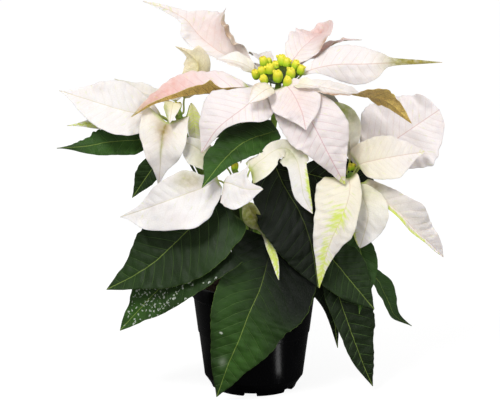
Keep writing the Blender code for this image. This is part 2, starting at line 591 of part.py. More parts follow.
def make_top_flower(material):
    """The green cushion of the top flower head, with its buds grown into it."""
    lean = math.radians(TOP_TILT)
    cushion = turned("top_flower", [(0.0, -TOP_DROP), (3.0, 1.0 - TOP_DROP), (TOP_SPREAD - 1.5, 0.0),
                                    (TOP_SPREAD, 2.0), (0.6 * TOP_SPREAD, 4.5), (0.0, 5.5)], 14, material)
    for vertex in cushion.data.vertices:
        x, y, z = (value / MM for value in vertex.co)
        vertex.co = ((TOP_FLOWER[0] + x) * MM,
                     (TOP_FLOWER[1] + y * math.cos(lean) - z * math.sin(lean)) * MM,
                     (TOP_FLOWER[2] + y * math.sin(lean) + z * math.cos(lean)) * MM)
    buds = flower_buds("top_bud", TOP_FLOWER, TOP_TILT, TOP_BUDS, TOP_SPREAD, 0.4, BUD_RADIUS,
                       BUD_LENGTH, 6, material)
    boolean(cushion, buds, "UNION")


def make_stems(material):
    """Trunk and branches in one piece, with the small flower heads of the side rosettes."""
    pieces = []
    for name, (points, low_radius, high_radius) in STEMS.items():
        rows = 4 if name == "trunk" else 8
        pieces.append(tube("stem_" + name, points, low_radius, high_radius, 8, rows, material))
    for name, (centre, count) in SIDE_FLOWERS.items():
        pieces += flower_buds("bud_" + name, centre, 10.0, count, 2.4, 0.5, 2.2, 8.0, 5, material)
    stems = pieces[0]
    stems.name = "stems"
    boolean(stems, pieces[1:], "UNION")


def build():
    clear_scene()
    make_pot(make_material("black_plastic", (0.012, 0.012, 0.014), 0.28))
    make_soil(make_material("potting_soil", (0.035, 0.022, 0.014), 0.95))
    make_stems(make_material("green_stem", (0.16, 0.26, 0.06), 0.55))
    make_top_flower(make_material("lime_bud", (0.36, 0.50, 0.04), 0.45))
    for blade in TOP_BRACTS + LEFT_BRACTS + FRONT_BRACTS + RIGHT_BRACTS + BACK_BRACTS:
        make_blade(blade, make_material("white_" + blade["name"], (0.86, 0.80, 0.77), 0.6))
    for blade in LEAVES:
        make_blade(blade, make_material("green_" + blade["name"], (0.035, 0.10, 0.022), 0.45))


build()
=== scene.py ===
import json
import math

import bpy
import numpy as np
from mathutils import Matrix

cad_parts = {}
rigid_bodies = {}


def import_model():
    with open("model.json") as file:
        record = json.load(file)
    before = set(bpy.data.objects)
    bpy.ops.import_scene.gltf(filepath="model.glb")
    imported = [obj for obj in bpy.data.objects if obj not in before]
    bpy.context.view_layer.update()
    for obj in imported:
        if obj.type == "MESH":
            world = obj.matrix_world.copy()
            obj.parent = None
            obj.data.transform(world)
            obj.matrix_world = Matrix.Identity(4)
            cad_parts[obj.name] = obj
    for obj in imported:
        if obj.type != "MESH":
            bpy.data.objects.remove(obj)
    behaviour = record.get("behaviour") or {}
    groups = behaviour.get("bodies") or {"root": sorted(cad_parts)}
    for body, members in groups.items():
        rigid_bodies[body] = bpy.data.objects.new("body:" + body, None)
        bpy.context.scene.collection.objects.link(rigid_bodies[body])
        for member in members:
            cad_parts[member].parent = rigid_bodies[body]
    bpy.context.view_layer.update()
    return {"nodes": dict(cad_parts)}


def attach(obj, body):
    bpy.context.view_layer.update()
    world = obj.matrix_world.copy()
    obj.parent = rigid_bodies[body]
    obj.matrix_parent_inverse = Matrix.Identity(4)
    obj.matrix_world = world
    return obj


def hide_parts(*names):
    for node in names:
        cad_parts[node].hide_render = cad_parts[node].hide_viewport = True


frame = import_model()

print("frame loaded with", len(frame["nodes"]), "nodes")

mm = 0.001  # lengths are in millimetres, but the stage and the camera are in metres


def unit(vectors):
    return vectors / np.linalg.norm(vectors, axis=-1, keepdims=True)


def smooth(share):
    # smoothstep: three times the square less twice the cube of the clipped share
    share = np.clip(share, 0, 1)
    return share * share * (3 - 2 * share)


def routeThrough(points, samples=24):
    # a cubic between each two points, over knots a square root of the distance apart, with the slope
    # at a point taken from its neighbours; also the length travelled, and where each point lies
    points = np.array(points, float)
    spans = np.linalg.norm(np.diff(points, axis=0), axis=1)
    knots = np.concatenate(([0.0], np.cumsum(np.sqrt(spans))))
    slopes = np.gradient(points, knots, axis=0)
    place = np.linspace(0, knots[-1], samples * len(spans) + 1)
    span = np.clip(np.searchsorted(knots, place, side="right") - 1, 0, len(spans) - 1)
    width = (knots[span + 1] - knots[span])[:, None]
    part = (place - knots[span])[:, None] / width
    line = ((1 + 2 * part) * (1 - part) ** 2 * points[span] + part ** 2 * (3 - 2 * part) * points[span + 1]
            + part * (1 - part) * width * ((1 - part) * slopes[span] - part * slopes[span + 1]))
    travel = np.concatenate(([0.0], np.cumsum(np.linalg.norm(np.diff(line, axis=0), axis=1))))
    return line, travel, np.interp(knots, place, travel)


def along(line, travel, stations):
    # the points of a line at the given lengths travelled
    return np.stack([np.interp(stations, travel, line[:, axis]) for axis in range(3)], axis=-1)


def circle(sides):
    # the angles of a full turn in equal steps
    return np.arange(sides) * 2 * math.pi / sides


def ripple(across, ahead, seed, low, high, count=7):
    # a soft crumple: a sum of sine waves over the flat sheet, with seeded directions and phases and
    # wave lengths between low and high
    draw = np.random.default_rng(seed)
    total = 0
    for _ in range(count):
        turn, phase, length = draw.uniform(0, math.pi), draw.uniform(0, 6.28), draw.uniform(low, high)
        way = across * math.cos(turn) + ahead * math.sin(turn)
        total = total + np.sin(way * 2 * math.pi / length + phase)
    return total / math.sqrt(count)


def skinRings(rings, start, end):
    # closed shell: each ring of points is joined to the next by quads, and each end closes on one point
    rows, sides, _ = rings.shape
    points = np.concatenate((rings.reshape(-1, 3), [start], [end]))
    here, after = np.arange(sides), (np.arange(sides) + 1) % sides
    low = np.arange(rows - 1)[:, None] * sides
    quads = np.stack((low + here, low + after, low + sides + after, low + sides + here), -1).reshape(-1, 4)
    last, first = (rows - 1) * sides, np.full(sides, rows * sides)
    caps = np.stack((first, after, here), 1), np.stack((first + 1, last + here, last + after), 1)
    return points, quads, np.concatenate(caps)


def plainShell(rings, start, end, key, value):
    # a skin that has one value of an attribute all over
    points, quads, caps = skinRings(rings, start, end)
    return points, quads, caps, {key: np.tile(value, (len(points), 1))}


def withEnds(values):
    # one value for each point of a skin: the rings' own, then the mean of the first and the last ring
    channels = values.shape[-1]
    return np.concatenate((values.reshape(-1, channels), [values[0].mean(0)], [values[-1].mean(0)]))


def addObject(name, data, place=(0, 0, 0), turn=(0, 0, 0)):
    thing = bpy.data.objects.new(name, data)
    thing.location, thing.rotation_euler = place, turn
    bpy.context.scene.collection.objects.link(thing)
    return thing


def makePiece(name, shells, material, slot, *nodes, sharpAngle=None):
    # one mesh from shells of points, quads, end triangles and point attributes, riding on the root body
    points, faces, first = [], [], 0
    for shell in shells:
        points.append(shell[0])
        faces += (shell[1] + first).tolist() + (shell[2] + first).tolist()
        first += len(shell[0])
    mesh = bpy.data.meshes.new(name)
    mesh.from_pydata((np.concatenate(points) * mm).tolist(), [], faces)
    for key in shells[0][3]:
        values = np.concatenate([shell[3][key] for shell in shells]).astype(np.float32)
        mesh.attributes.new(key, "FLOAT_VECTOR", "POINT").data.foreach_set("vector", values.ravel())
    mesh.shade_smooth()
    if sharpAngle is not None:
        mesh.set_sharp_from_angle(angle=math.radians(sharpAngle))
    piece = addObject(name, mesh)
    mesh.materials.append(material)
    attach(piece, "root")
    if nodes:
        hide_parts(*nodes)
    return piece


def linear(hexText):
    # sRGB to linear light: value / 12.92 in the dark part, ((value + 0.055) / 1.055) ^ 2.4 above it
    value = np.array([int(hexText[i:i + 2], 16) for i in (1, 3, 5)]) / 255
    light = np.where(value <= 0.04045, value / 12.92, ((value + 0.055) / 1.055) ** 2.4)
    return (*[float(part) for part in light], 1.0)


def startMaterial(name, finish):
    # a new material, its tree and shader, and the finish's hex values as linear paints
    material = bpy.data.materials.new(name)
    material.use_nodes = True
    paint = {key: linear(value) for key, value in finish.items() if isinstance(value, str)}
    return material, material.node_tree, material.node_tree.nodes["Principled BSDF"], paint


# A Math node multiplies and adds, kept between 0 and 1. A MapRange node gives 1 up to its From Min and
# 0 from its From Max on, smooth between them.
usualSettings = {"Mix": {"data_type": "RGBA"},
                 "Math": {"operation": "MULTIPLY_ADD", "use_clamp": True, 2: 0.0},
                 "MapRange": {"interpolation_type": "SMOOTHSTEP", "To Min": 1.0, "To Max": 0.0}}


def connect(tree, node, settings):
    # a socket among the settings is linked, and any other value is set on the node's own socket
    for key, value in settings.items():
        if isinstance(value, bpy.types.NodeSocket):
            tree.links.new(node.inputs[key], value)
        else:
            node.inputs[key].default_value = value


def addNode(tree, kind, settings):
    # adds a node, sets its properties and sockets, links its inputs, and gives back its main output
    node = tree.nodes.new("ShaderNode" + kind)
    settings = {**usualSettings.get(kind, {}), **settings}
    for key in [key for key in settings if isinstance(key, str) and hasattr(node, key)]:
        setattr(node, key, settings.pop(key))
    connect(tree, node, settings)
    return node.outputs[2 if kind == "Mix" else 0]


def layered(tree, paint, base, layers):
    # lays paints over the base one after another, each by a share: a value times another plus a third
    colour = paint[base]
    for name, *share in layers:
        shown = addNode(tree, "Math", dict(enumerate(share)))
        colour = addNode(tree, "Mix", {0: shown, 6: colour, 7: paint[name]})
    return colour


def readings(tree, name):
    # a point attribute as a vector, and its three numbers
    vector = addNode(tree, "Attribute", {"attribute_name": name}).node.outputs["Vector"]
    return vector, *addNode(tree, "SeparateXYZ", {0: vector}).node.outputs


# Bract tissue, grown: thin, matt and slightly see-through, so its shadows stay pale and soft. Its fine
# nerves show rosy or olive, and its margins and stalk keep some green. Sizes are in millimetres, and
# veinShare is a share of the gap between two side nerves.
bractFinish = dict(body="#f3eeea", shade="#e9e0dd", cream="#efe7bb", rosyVein="#cc8e9b", plainVein="#d2cda4",
                   net="#dccfce", stalk="#aeb95e", under="#efe9d2", green="#8f9c34", brown="#9a6a30",
                   pink="#e3a79c", blush="#f0e1e0", lime="#cfe03c", gold="#f0cd60", goldNerve="#8a5a26",
                   veinShare=0.05, ribWidth=0.65, netSize=2.6, cloudSize=26, patchSize=5, streakSize=9,
                   grainSize=1.6, roughness=0.55, bump=0.45)

# Leaf tissue, grown: dark green under a waxy skin, which gives it a soft satin gloss over sunken nerves.
# Its near-black paint is painted shade on leaves that lie in shadow, and its near-white speck paint is the
# painted highlight of water drops.
leafFinish = dict(dark="#141c0e", bright="#3f6626", paintedShade="#060906", rib="#8aa04c", vein="#5c7a40",
                  net="#2b3c20", margin="#6f8c40", under="#5f7040", film="#b9c4ad", glintWhite="#e6ece0",
                  veinShare=0.04, ribWidth=0.55, netSize=2.4, cloudSize=18, dropSize=3.6, roughness=0.46,
                  gloss=0.22, bump=0.85)


def nerveMasks(tree, finish):
    # midrib from the distance to the rib, side nerves where the vein phase is a whole number, and the
    # net between them along the edges of Voronoi cells a few millimetres wide
    way, _, _, under = readings(tree, "leafWay")
    _, phase, toRib, margin = readings(tree, "veinWay")
    nearest = addNode(tree, "Math", {"operation": "PINGPONG", 0: phase, 1: 0.5})
    thin = addNode(tree, "MapRange", {"Value": nearest, "From Min": 0.0, "From Max": finish["veinShare"]})
    inside = addNode(tree, "MapRange", {"Value": margin, "From Min": 0.5, "From Max": 1.05})
    sideNerve = addNode(tree, "Math", {0: thin, 1: inside})
    midrib = addNode(tree, "MapRange", {"Value": toRib, "From Min": 0.35 * finish["ribWidth"],
                                        "From Max": finish["ribWidth"]})
    cells = addNode(tree, "TexVoronoi", {"voronoi_dimensions": "2D", "feature": "DISTANCE_TO_EDGE",
                                         "Scale": 1 / finish["netSize"], "Vector": way})
    net = addNode(tree, "MapRange", {"Value": cells, "From Min": 0.02, "From Max": 0.16})
    return way, under, margin, midrib, sideNerve, net


def bractMaterial():
    finish = bractFinish
    material, tree, shader, paint = startMaterial("poinsettia bract, matt grown tissue", finish)
    way, under, _, midrib, sideNerve, net = nerveMasks(tree, finish)
    _, _, place, lime = readings(tree, "leafShare")
    _, rosy, cream, gold = readings(tree, "bladeLook")
    # the spot colours: mostly the bract's own olive, tan and pink, and on a few bracts near the base painted
    # shade
    _, green, brown, pink = readings(tree, "stain")
    sheet = {"noise_dimensions": "2D", "Vector": way, "Detail": 3.0}
    cloud = addNode(tree, "TexNoise", {**sheet, "Scale": 1 / finish["cloudSize"]})
    patches = addNode(tree, "TexNoise", {**sheet, "Scale": 1 / finish["patchSize"], "Detail": 4.0})
    inner = addNode(tree, "MapRange", {"Value": place, "From Min": 0.1, "From Max": 1.0})
    atStalk = addNode(tree, "MapRange", {"Value": place, "From Min": 0.0, "From Max": 0.05})
    paint["nerve"] = addNode(tree, "Mix", {0: rosy, 6: paint["plainVein"], 7: paint["rosyVein"]})
    shown = addNode(tree, "Math", {0: rosy, 1: 0.42, 2: 0.12})
    patchy = addNode(tree, "Math", {0: patches, 1: 1.2, 2: 0.25})
    evener = addNode(tree, "Math", {0: patches, 1: 0.8, 2: 0.4})
    # lime runs along the side nerves in streaks: its share is raised or lowered by a stretched noise
    streakWay = addNode(tree, "Mapping", {"Scale": (3.0, 1 / finish["streakSize"], 1.0),
                                          "Vector": readings(tree, "veinWay")[0]})
    streaks = addNode(tree, "TexNoise", {**sheet, "Scale": 1.0, "Vector": streakWay})
    streaky = addNode(tree, "Math", {"use_clamp": False, 0: streaks, 1: 2.8, 2: -1.85})
    limeShare = addNode(tree, "Math", {0: lime, 1: 1.7, 2: streaky})
    # on a bract with a golden look the lower face is golden, with brown nerves
    turned = addNode(tree, "Math", {0: under, 1: gold})
    brownNerves = [addNode(tree, "Math", {0: sideNerve, 1: 0.8}), addNode(tree, "Math", {0: net, 1: 0.32})]
    spots = addNode(tree, "Math", {0: patches, 1: 1.2, 2: -0.5})
    brownNerves.append(addNode(tree, "Math", {0: spots, 1: 0.8}))
    colour = layered(tree, paint, "body", (
        ("shade", cloud, 2.2, -0.85), ("cream", cream, inner), ("blush", rosy, 0.75), ("under", under, 0.45),
        ("net", net, 0.16), ("nerve", sideNerve, shown), ("nerve", midrib, 0.6), ("pink", pink, evener),
        ("green", green, patchy), ("brown", brown, patchy), ("lime", limeShare, 0.85), ("gold", turned, 0.85),
        *[("goldNerve", turned, nerve) for nerve in brownNerves], ("stalk", atStalk, 1.0)))
    relief = addNode(tree, "Math", {"use_clamp": False, 0: net, 1: 0.35, 2: sideNerve})
    grain = addNode(tree, "TexNoise", {**sheet, "Scale": 1 / finish["grainSize"]})
    height = addNode(tree, "Math", {"use_clamp": False, 0: relief, 1: -1.0, 2: grain})
    bump = addNode(tree, "Bump", {"Strength": finish["bump"], "Distance": 0.5 * mm, "Height": height})
    connect(tree, shader, {
        "Base Color": colour, "Normal": bump, "Roughness": finish["roughness"], "IOR": 1.40,
        "Subsurface Weight": 0.35, "Subsurface Radius": (1.0, 0.85, 0.65), "Subsurface Scale": 1.5 * mm,
        "Sheen Weight": 0.12})
    return material


def leafMaterial():
    finish = leafFinish
    material, tree, shader, paint = startMaterial("poinsettia leaf, waxy grown tissue", finish)
    way, under, margin, midrib, sideNerve, net = nerveMasks(tree, finish)
    film = readings(tree, "leafShare")[3]
    bright = readings(tree, "bladeLook")[1]
    # the spot colours: a brighter green that is partly painted light, a near-black painted shade, and the
    # share of water drops
    _, green, paintedShade, drops = readings(tree, "stain")
    sheet = {"noise_dimensions": "2D", "Vector": way}
    cloud = addNode(tree, "TexNoise", {**sheet, "Scale": 1 / finish["cloudSize"], "Detail": 4.0})
    # the brighter green is laid by the blade's brightness and its green spots, partly the leaf's own tone and
    # partly painted light, lighter where a leaf lies in the light and darker where it lies in shade
    paleGreenAndPaintedLight = addNode(tree, "Math", {0: green, 1: 0.8})
    toneAndPaintedLight = addNode(tree, "Math", {"operation": "ADD", 0: bright, 1: paleGreenAndPaintedLight})
    cloudy = addNode(tree, "Math", {0: cloud, 1: 1.4, 2: 0.25})
    filmy = addNode(tree, "Math", {0: cloud, 1: 0.8, 2: 0.2})
    faint = addNode(tree, "Math", {0: cloud, 1: 0.8, 2: 0.1})
    lit = addNode(tree, "Math", {0: cloud, 1: 1.0, 2: 0.05})
    # a lighter line along the margin, partly the leaf's own paler edge and partly a painted highlight on it
    edge = addNode(tree, "Math", {"operation": "GREATER_THAN", 0: margin, 1: 0.99})
    # water drops, painted as white specks that stand for their highlights: round cells, each of its own
    # size, shown where a cell's chance lies below the share
    blur = addNode(tree, "TexNoise", {**sheet, "Scale": 1 / 2.2}).node.outputs["Color"]
    bent = addNode(tree, "VectorMath", {"operation": "MULTIPLY_ADD", 0: blur, 1: (4.0, 4.0, 0.0), 2: way})
    cells = addNode(tree, "TexVoronoi", {"voronoi_dimensions": "2D", "feature": "F1",
                                         "Scale": 1 / finish["dropSize"], "Vector": bent})
    chance = cells.node.outputs["Color"]
    reach = addNode(tree, "Math", {0: chance, 1: -0.34, 2: 0.36})
    spot = addNode(tree, "Math", {"operation": "LESS_THAN", 0: cells, 1: reach})
    chosen = addNode(tree, "Math", {"operation": "LESS_THAN", 0: chance, 1: drops})
    paintedGlints = addNode(tree, "Math", {0: spot, 1: chosen})
    colour = layered(tree, paint, "dark", (
        ("bright", toneAndPaintedLight, cloudy), ("net", net, 0.35), ("under", under, 0.75), ("vein", sideNerve, 0.85),
        ("rib", midrib, 0.8), ("paintedShade", paintedShade, 0.9), ("film", film, filmy), ("margin", edge, faint),
        ("glintWhite", paintedGlints, lit)))
    relief = addNode(tree, "Math", {"use_clamp": False, 0: net, 1: 0.3, 2: sideNerve})
    bump = addNode(tree, "Bump", {"Strength": finish["bump"], "Distance": -0.6 * mm, "Height": relief})
    rough = addNode(tree, "Math", {0: cloud, 1: 0.22, 2: finish["roughness"] - 0.08})
    connect(tree, shader, {
        "Base Color": colour, "Normal": bump, "Roughness": rough, "IOR": 1.42,
        "Specular IOR Level": finish["gloss"], "Subsurface Weight": 0.06,
        "Subsurface Radius": (0.5, 1.0, 0.2), "Subsurface Scale": 1.0 * mm})
    return material


# Stems: centre line, then the radius at the bottom and at the top
stems = {
    "trunk": dict(route=((0, 0, 70), (0, 0, 105), (0, -1, 140)), radius=(6.0, 5.6)),
    "top": dict(route=((0, 0, 136), (5, 3, 180), (13, 3, 235), (21, -3, 285), (25, -7.6, 320.8)),
                radius=(4.6, 3.2)),
    "left": dict(route=((0, 0, 134), (-22, -1, 165), (-48, -4, 215), (-70, -11, 268), (-78, -14, 297)),
                 radius=(4.2, 3.0)),
    "right": dict(route=((0, 0, 130), (30, -5, 152), (66, -12, 186), (92, -18, 215), (100, -20, 231)),
                  radius=(4.2, 3.0)),
    "front": dict(route=((0, -1, 126), (-6, -24, 155), (-12, -46, 200), (-16, -58, 234), (-20, -54, 243)),
                  radius=(3.8, 3.0)),
    "back": dict(route=((0, 0, 132), (4, 28, 175), (8, 56, 230), (10, 74, 280)), radius=(3.8, 3.0)),
}
for stem in stems.values():
    stem["line"], stem["travel"], _ = routeThrough(stem["route"])

# Each blade of the tables below has the end of its node's name, after top_bract_, leaf_ and so on, then
# the height on its stem in millimetres, and the rib's points from the stalk to the tip.
# face and tipFace are the way its upper side looks, and fold is the angle that each half is raised by.
# The outline is shape, rows of place and half width on the left and right that end in lastRow, or else
# width with its widest place belly and its pointedness, and lobes. curl is rows of place and angle for
# both halves, and heart is how far each half reaches back at the base. look is how rosy, how creamy and
# how golden, or how bright on a leaf, which is partly the leaf's own tone and partly painted light and
# shade. A spot is its colour, place, side, reach along, reach across and strength; on a leaf green is
# brighter, partly its own paler green and partly painted light, brown is darker as painted shade, pink is
# water drops painted as white specks that stand for their highlights, and lime is a pale film. On a few
# bracts green and brown spots near the base are painted shade, as said at each one.
bladeDefaults = dict(tipFace=None, width=0, fold=(14, 14), waves=2, wave=1.5, belly=0.4, point=1.35, lobes=(),
                     shape=(), heart=(0, 0), frill=0.35, curl=((0, 0, 0), (1, 0, 0)), spots=(),
                     look=(0.3, 0.2, 0))
bractBlade = dict(slot="white_bract", stalkWidth=1.8, stalkThick=1.3, thick=0.5, veinGap=9.0, quilt=0.45,
                  crumple=0.30, ribHeight=0.7, rowStep=1.6)
leafBlade = dict(slot="green_leaf", stalkWidth=2.5, stalkThick=2.0, thick=0.55, veinGap=10.5, quilt=0.8,
                 crumple=0.45, ribHeight=1.1, rowStep=1.8)
lastRow = (1, 0.3, 0.3)
stalk = dict(plug=1.4, gap=0.35, straight=3.0, rows=6, flare=0.5, flareFade=2.5)  # plug: inside the stem
tissue = dict(tipWidth=0.7, halfColumns=17, waveStart=(2.6, 0.9), foldStart=0.15, frillRange=(5, 14),
              frillDepth=0.035, frillEnds=0.1, fullHalf=14, veinSlope=0.62, veinBend=0.006, veinShift=0.45,
              crumpleRange=(7, 19), grooveWidth=1.3, ridgeWidth=0.9, heartEnd=0.3, stalkEnd=0.12)


def stalkFoot(stem, height, target):
    # where a stalk leaves its stem: the centre line at that height, then out square to it by the radius
    line, travel = stem["line"], stem["travel"]
    station = np.interp(height, line[:, 2], travel)
    near = along(line, travel, np.array([station - 1.0, station, station + 1.0]))
    radius = stem["radius"][0] + (stem["radius"][1] - stem["radius"][0]) * station / travel[-1]
    upward = unit(near[2] - near[0])
    outward = np.array(target, float) - near[1]
    outward = unit(outward - upward * np.dot(outward, upward))
    return near[1] + outward * (radius + stalk["gap"]), outward


def bladeOutline(place, belly, point):
    # share of the full width along the rib: place to one power times what is left to another, 1 at the belly
    rise = point * belly / (1 - belly)
    inside = np.clip(place, 0, 1)
    return inside ** rise * (1 - inside) ** point / (belly ** rise * (1 - belly) ** point)


def ribFrame(blade, rowStep):
    # Lengths travelled from inside the stem to the tip, with the place on the blade from 0 to 1. At each
    # one: the point, the way ahead, and the upper side, which turns from face to tipFace by a smoothstep.
    foot, outward = stalkFoot(stems[blade["stem"]], blade["height"], blade["rib"][0])
    line, travel, knots = routeThrough([foot, foot + outward * stalk["straight"], *blade["rib"]])
    length = travel[-1] - knots[2]
    share = np.linspace(0, 1, int(length / rowStep)) ** 0.94   # rows a little closer at the tip
    stations = np.concatenate((np.linspace(0, knots[2], stalk["rows"] + 1)[:-1], knots[2] + length * share))
    place = np.concatenate((np.zeros(stalk["rows"] + 1), share))
    rib = along(line, travel, stations)
    ahead = unit(np.gradient(rib, stations, axis=0))
    ahead[0] = outward
    rib = np.concatenate(([rib[0] - outward * stalk["plug"]], rib))
    ahead = np.concatenate(([outward], ahead))
    stations = np.concatenate(([-stalk["plug"]], stations))
    turning = smooth(place)[:, None]
    upper = (1 - turning) * unit(np.array(blade["face"], float)) + turning * unit(
        np.array(blade["tipFace"] or blade["face"], float))
    upper = unit(upper - ahead * np.sum(upper * ahead, axis=1, keepdims=True))
    return place, stations, stations - knots[2], length, rib, ahead, upper


def bladeHalf(blade, side, place, length, narrow, steps, seed):
    # One half of a blade, on the left for side 0 and on the right for side 1: its width along the rib,
    # and at each step across how far it reaches sideways and how far it rises. Both are sums along the
    # sheet of the cosine and the sine of its angle, the fold plus the curl times the square of the step.
    if blade["shape"]:
        course, _, _ = routeThrough([*blade["shape"], lastRow])
        half = np.maximum(np.interp(place, course[:, 0], course[:, side + 1]), 0.5 * tissue["tipWidth"])
        half = np.where(place > 0, half, 0.5 * narrow)
    else:
        share = bladeOutline(place, blade["belly"], blade["point"])
        half = 0.5 * (narrow + (blade["width"] - narrow) * share)
    edge = ripple(np.full(len(place), 40.0 * side), place * length, seed + side, *tissue["frillRange"])
    frilled = smooth(place / tissue["frillEnds"]) * smooth((1 - place) / tissue["frillEnds"])
    half = half * (1 + blade["frill"] * tissue["frillDepth"] * edge * frilled)
    for lobePlace, lobeSide, lobeHeight in blade["lobes"]:
        if (lobeSide > 0) == (side == 1):
            half = half * (1 + lobeHeight * np.clip(1 - np.abs(place - lobePlace) / 0.12, 0, 1) ** 1.2)
    curl = np.array(blade["curl"], float)
    folded = math.radians(blade["fold"][side]) * np.clip(place / tissue["foldStart"], 0, 1)
    curled = np.radians(np.interp(place, curl[:, 0], curl[:, side + 1]))
    turn = folded[:, None] + curled[:, None] * steps ** 2
    sums = []
    for wave in (np.cos(turn), np.sin(turn)):
        each = 0.5 * np.diff(steps) * (wave[:, 1:] + wave[:, :-1])
        sums.append(half[:, None] * np.insert(np.cumsum(each, axis=1), 0, 0.0, axis=1))
    swing = 2 * math.pi * blade["waves"] * place + tissue["waveStart"][side]
    swell = np.sin(swing) + 0.3 * np.sin(2.7 * swing + seed)
    raised = (blade["wave"] * swell + 1.3 * blade["frill"] * edge) * np.clip(half / tissue["fullHalf"], 0, 1)
    return half, sums[0], sums[1] + raised[:, None] * steps ** 2


def bladeShell(name, settings, kind):
    # A blade is a grid of places along its rib and shares across it. The two halves are set side by side
    # and swept back at the base, the tissue bulges between the side nerves and dips at the rib, and half
    # the thickness is laid on each face.
    blade = {**bladeDefaults, **settings}
    seed = sum(map(ord, name))
    place, stations, fromStalk, length, rib, ahead, upper = ribFrame(blade, kind["rowStep"])
    flare = 1 + stalk["flare"] * np.exp(-np.clip(stations, 0, None) / stalk["flareFade"])
    narrow = (kind["stalkWidth"] + (tissue["tipWidth"] - kind["stalkWidth"]) * place) * flare
    steps = np.linspace(0, 1, tissue["halfColumns"]) ** 1.35
    steps = np.insert(steps, -1, 0.985)
    left, right = [bladeHalf(blade, side, place, length, narrow, steps, seed) for side in (0, 1)]
    across = np.concatenate((-steps[:0:-1], steps))
    sideways = np.concatenate((-left[1][:, :0:-1], right[1]), axis=1)
    lift = np.concatenate((left[2][:, :0:-1], right[2]), axis=1)
    halfWidth = np.where(across > 0, right[0][:, None], left[0][:, None])
    flat = across * halfWidth                       # millimetres across, on the flat sheet
    onward = fromStalk[:, None] + 0 * flat             # millimetres along it
    column = place[:, None]
    gap = kind["veinGap"] * np.clip(length / 110, 0.55, 1.15)   # side nerves stand closer on a short blade
    slanted = onward - tissue["veinSlope"] * np.abs(flat) - tissue["veinBend"] * flat ** 2
    phase = slanted / gap + np.where(across > 0, tissue["veinShift"], 0.0)
    size = np.clip(halfWidth / tissue["fullHalf"], 0, 1)
    inner = size * smooth(np.abs(flat) / 4) * (1 - across ** 6)   # none at the rib, none at the margin
    bulge = (np.abs(np.sin(math.pi * phase)) ** 0.75 - 0.55) * inner
    groove = np.exp(-(flat / tissue["grooveWidth"]) ** 2) * size * (1 - 0.7 * column)
    crumple = ripple(flat, onward, seed, *tissue["crumpleRange"]) * size * smooth(column / 0.08)
    lift = lift + kind["quilt"] * bulge - 0.6 * kind["ribHeight"] * groove + kind["crumple"] * crumple
    swept = np.array(blade["heart"], float)[(across > 0).astype(int)] * across ** 2
    swept = swept * (1 - smooth(column / tissue["heartEnd"])) * (column > 0)
    middle = (rib[:, None] + np.cross(ahead, upper)[:, None] * sideways[..., None]
              + upper[:, None] * lift[..., None] - ahead[:, None] * swept[..., None])
    facing = unit(np.cross(np.gradient(middle, axis=1), np.gradient(middle, axis=0)))
    stalkShare = np.clip(1 - column / tissue["stalkEnd"], 0, 1)
    thick = kind["thick"] + (kind["stalkThick"] * flare[:, None] - kind["thick"]) * stalkShare
    roundness = 2 + 22 * (1 - stalkShare)           # 2 is an ellipse, 24 a flat sheet with a round margin
    profile = 0.5 * thick * np.sqrt(np.clip(1 - np.abs(across) ** roundness, 0, 1))
    ridge = kind["ribHeight"] * np.exp(-(flat / tissue["ridgeWidth"]) ** 2) * size * (1 - 0.6 * column)
    back = slice(-2, 0, -1)
    low = middle - facing * (profile + ridge)[..., None]
    rings = np.concatenate((middle + facing * profile[..., None], low[:, back]), axis=1)

    def ring(*numbers):
        # three numbers for each point of the rings, the same on both faces
        grids = np.stack([np.broadcast_to(value, flat.shape) for value in numbers], axis=-1)
        return np.concatenate((grids, grids[:, back]), axis=1)

    # the spots add up here: on the bracts mostly real olive, tan and pink marks, with painted shade near the
    # base of a few; on the leaves a brighter green that is partly painted light, painted shade, and the water
    # drops whose white specks are painted highlights
    stain = np.zeros((4, *flat.shape))
    for colour, spotPlace, spotSide, reachAlong, reachAcross, strength in blade["spots"]:
        distance = ((column - spotPlace) / reachAlong) ** 2 + ((across - spotSide) / reachAcross) ** 2
        stain[("green", "brown", "pink", "lime").index(colour)] += strength * np.exp(-distance)
    stain = np.clip(stain, 0, 1)
    tone = (seed % 17) / 16
    way = ring(flat + 300 * tone, onward + 170 * tone, 0.0)   # moved on by the tone, so that blades differ
    way[:, len(across):, 2] = 1.0                             # the lower face
    attributes = {
        "leafWay": way,
        "veinWay": ring(phase, np.abs(flat), np.abs(across)),
        "leafShare": ring(across, column, stain[3]),
        "bladeLook": ring(*blade["look"]),
        "stain": ring(*stain[:3]),
    }
    attributes = {key: withEnds(values) for key, values in attributes.items()}
    start = rings[0].mean(0) - ahead[0] * 0.2
    end = rings[-1].mean(0) + ahead[-1] * 0.3
    return (*skinRings(rings, start, end), attributes)


def makeBlades(prefix, group, kind, material):
    for key, settings in group.items():
        name = prefix + key
        makePiece(name + "_blade", [bladeShell(name, settings, kind)], material, kind["slot"], name)
    print("made", len(group), "blades, the last is", name)


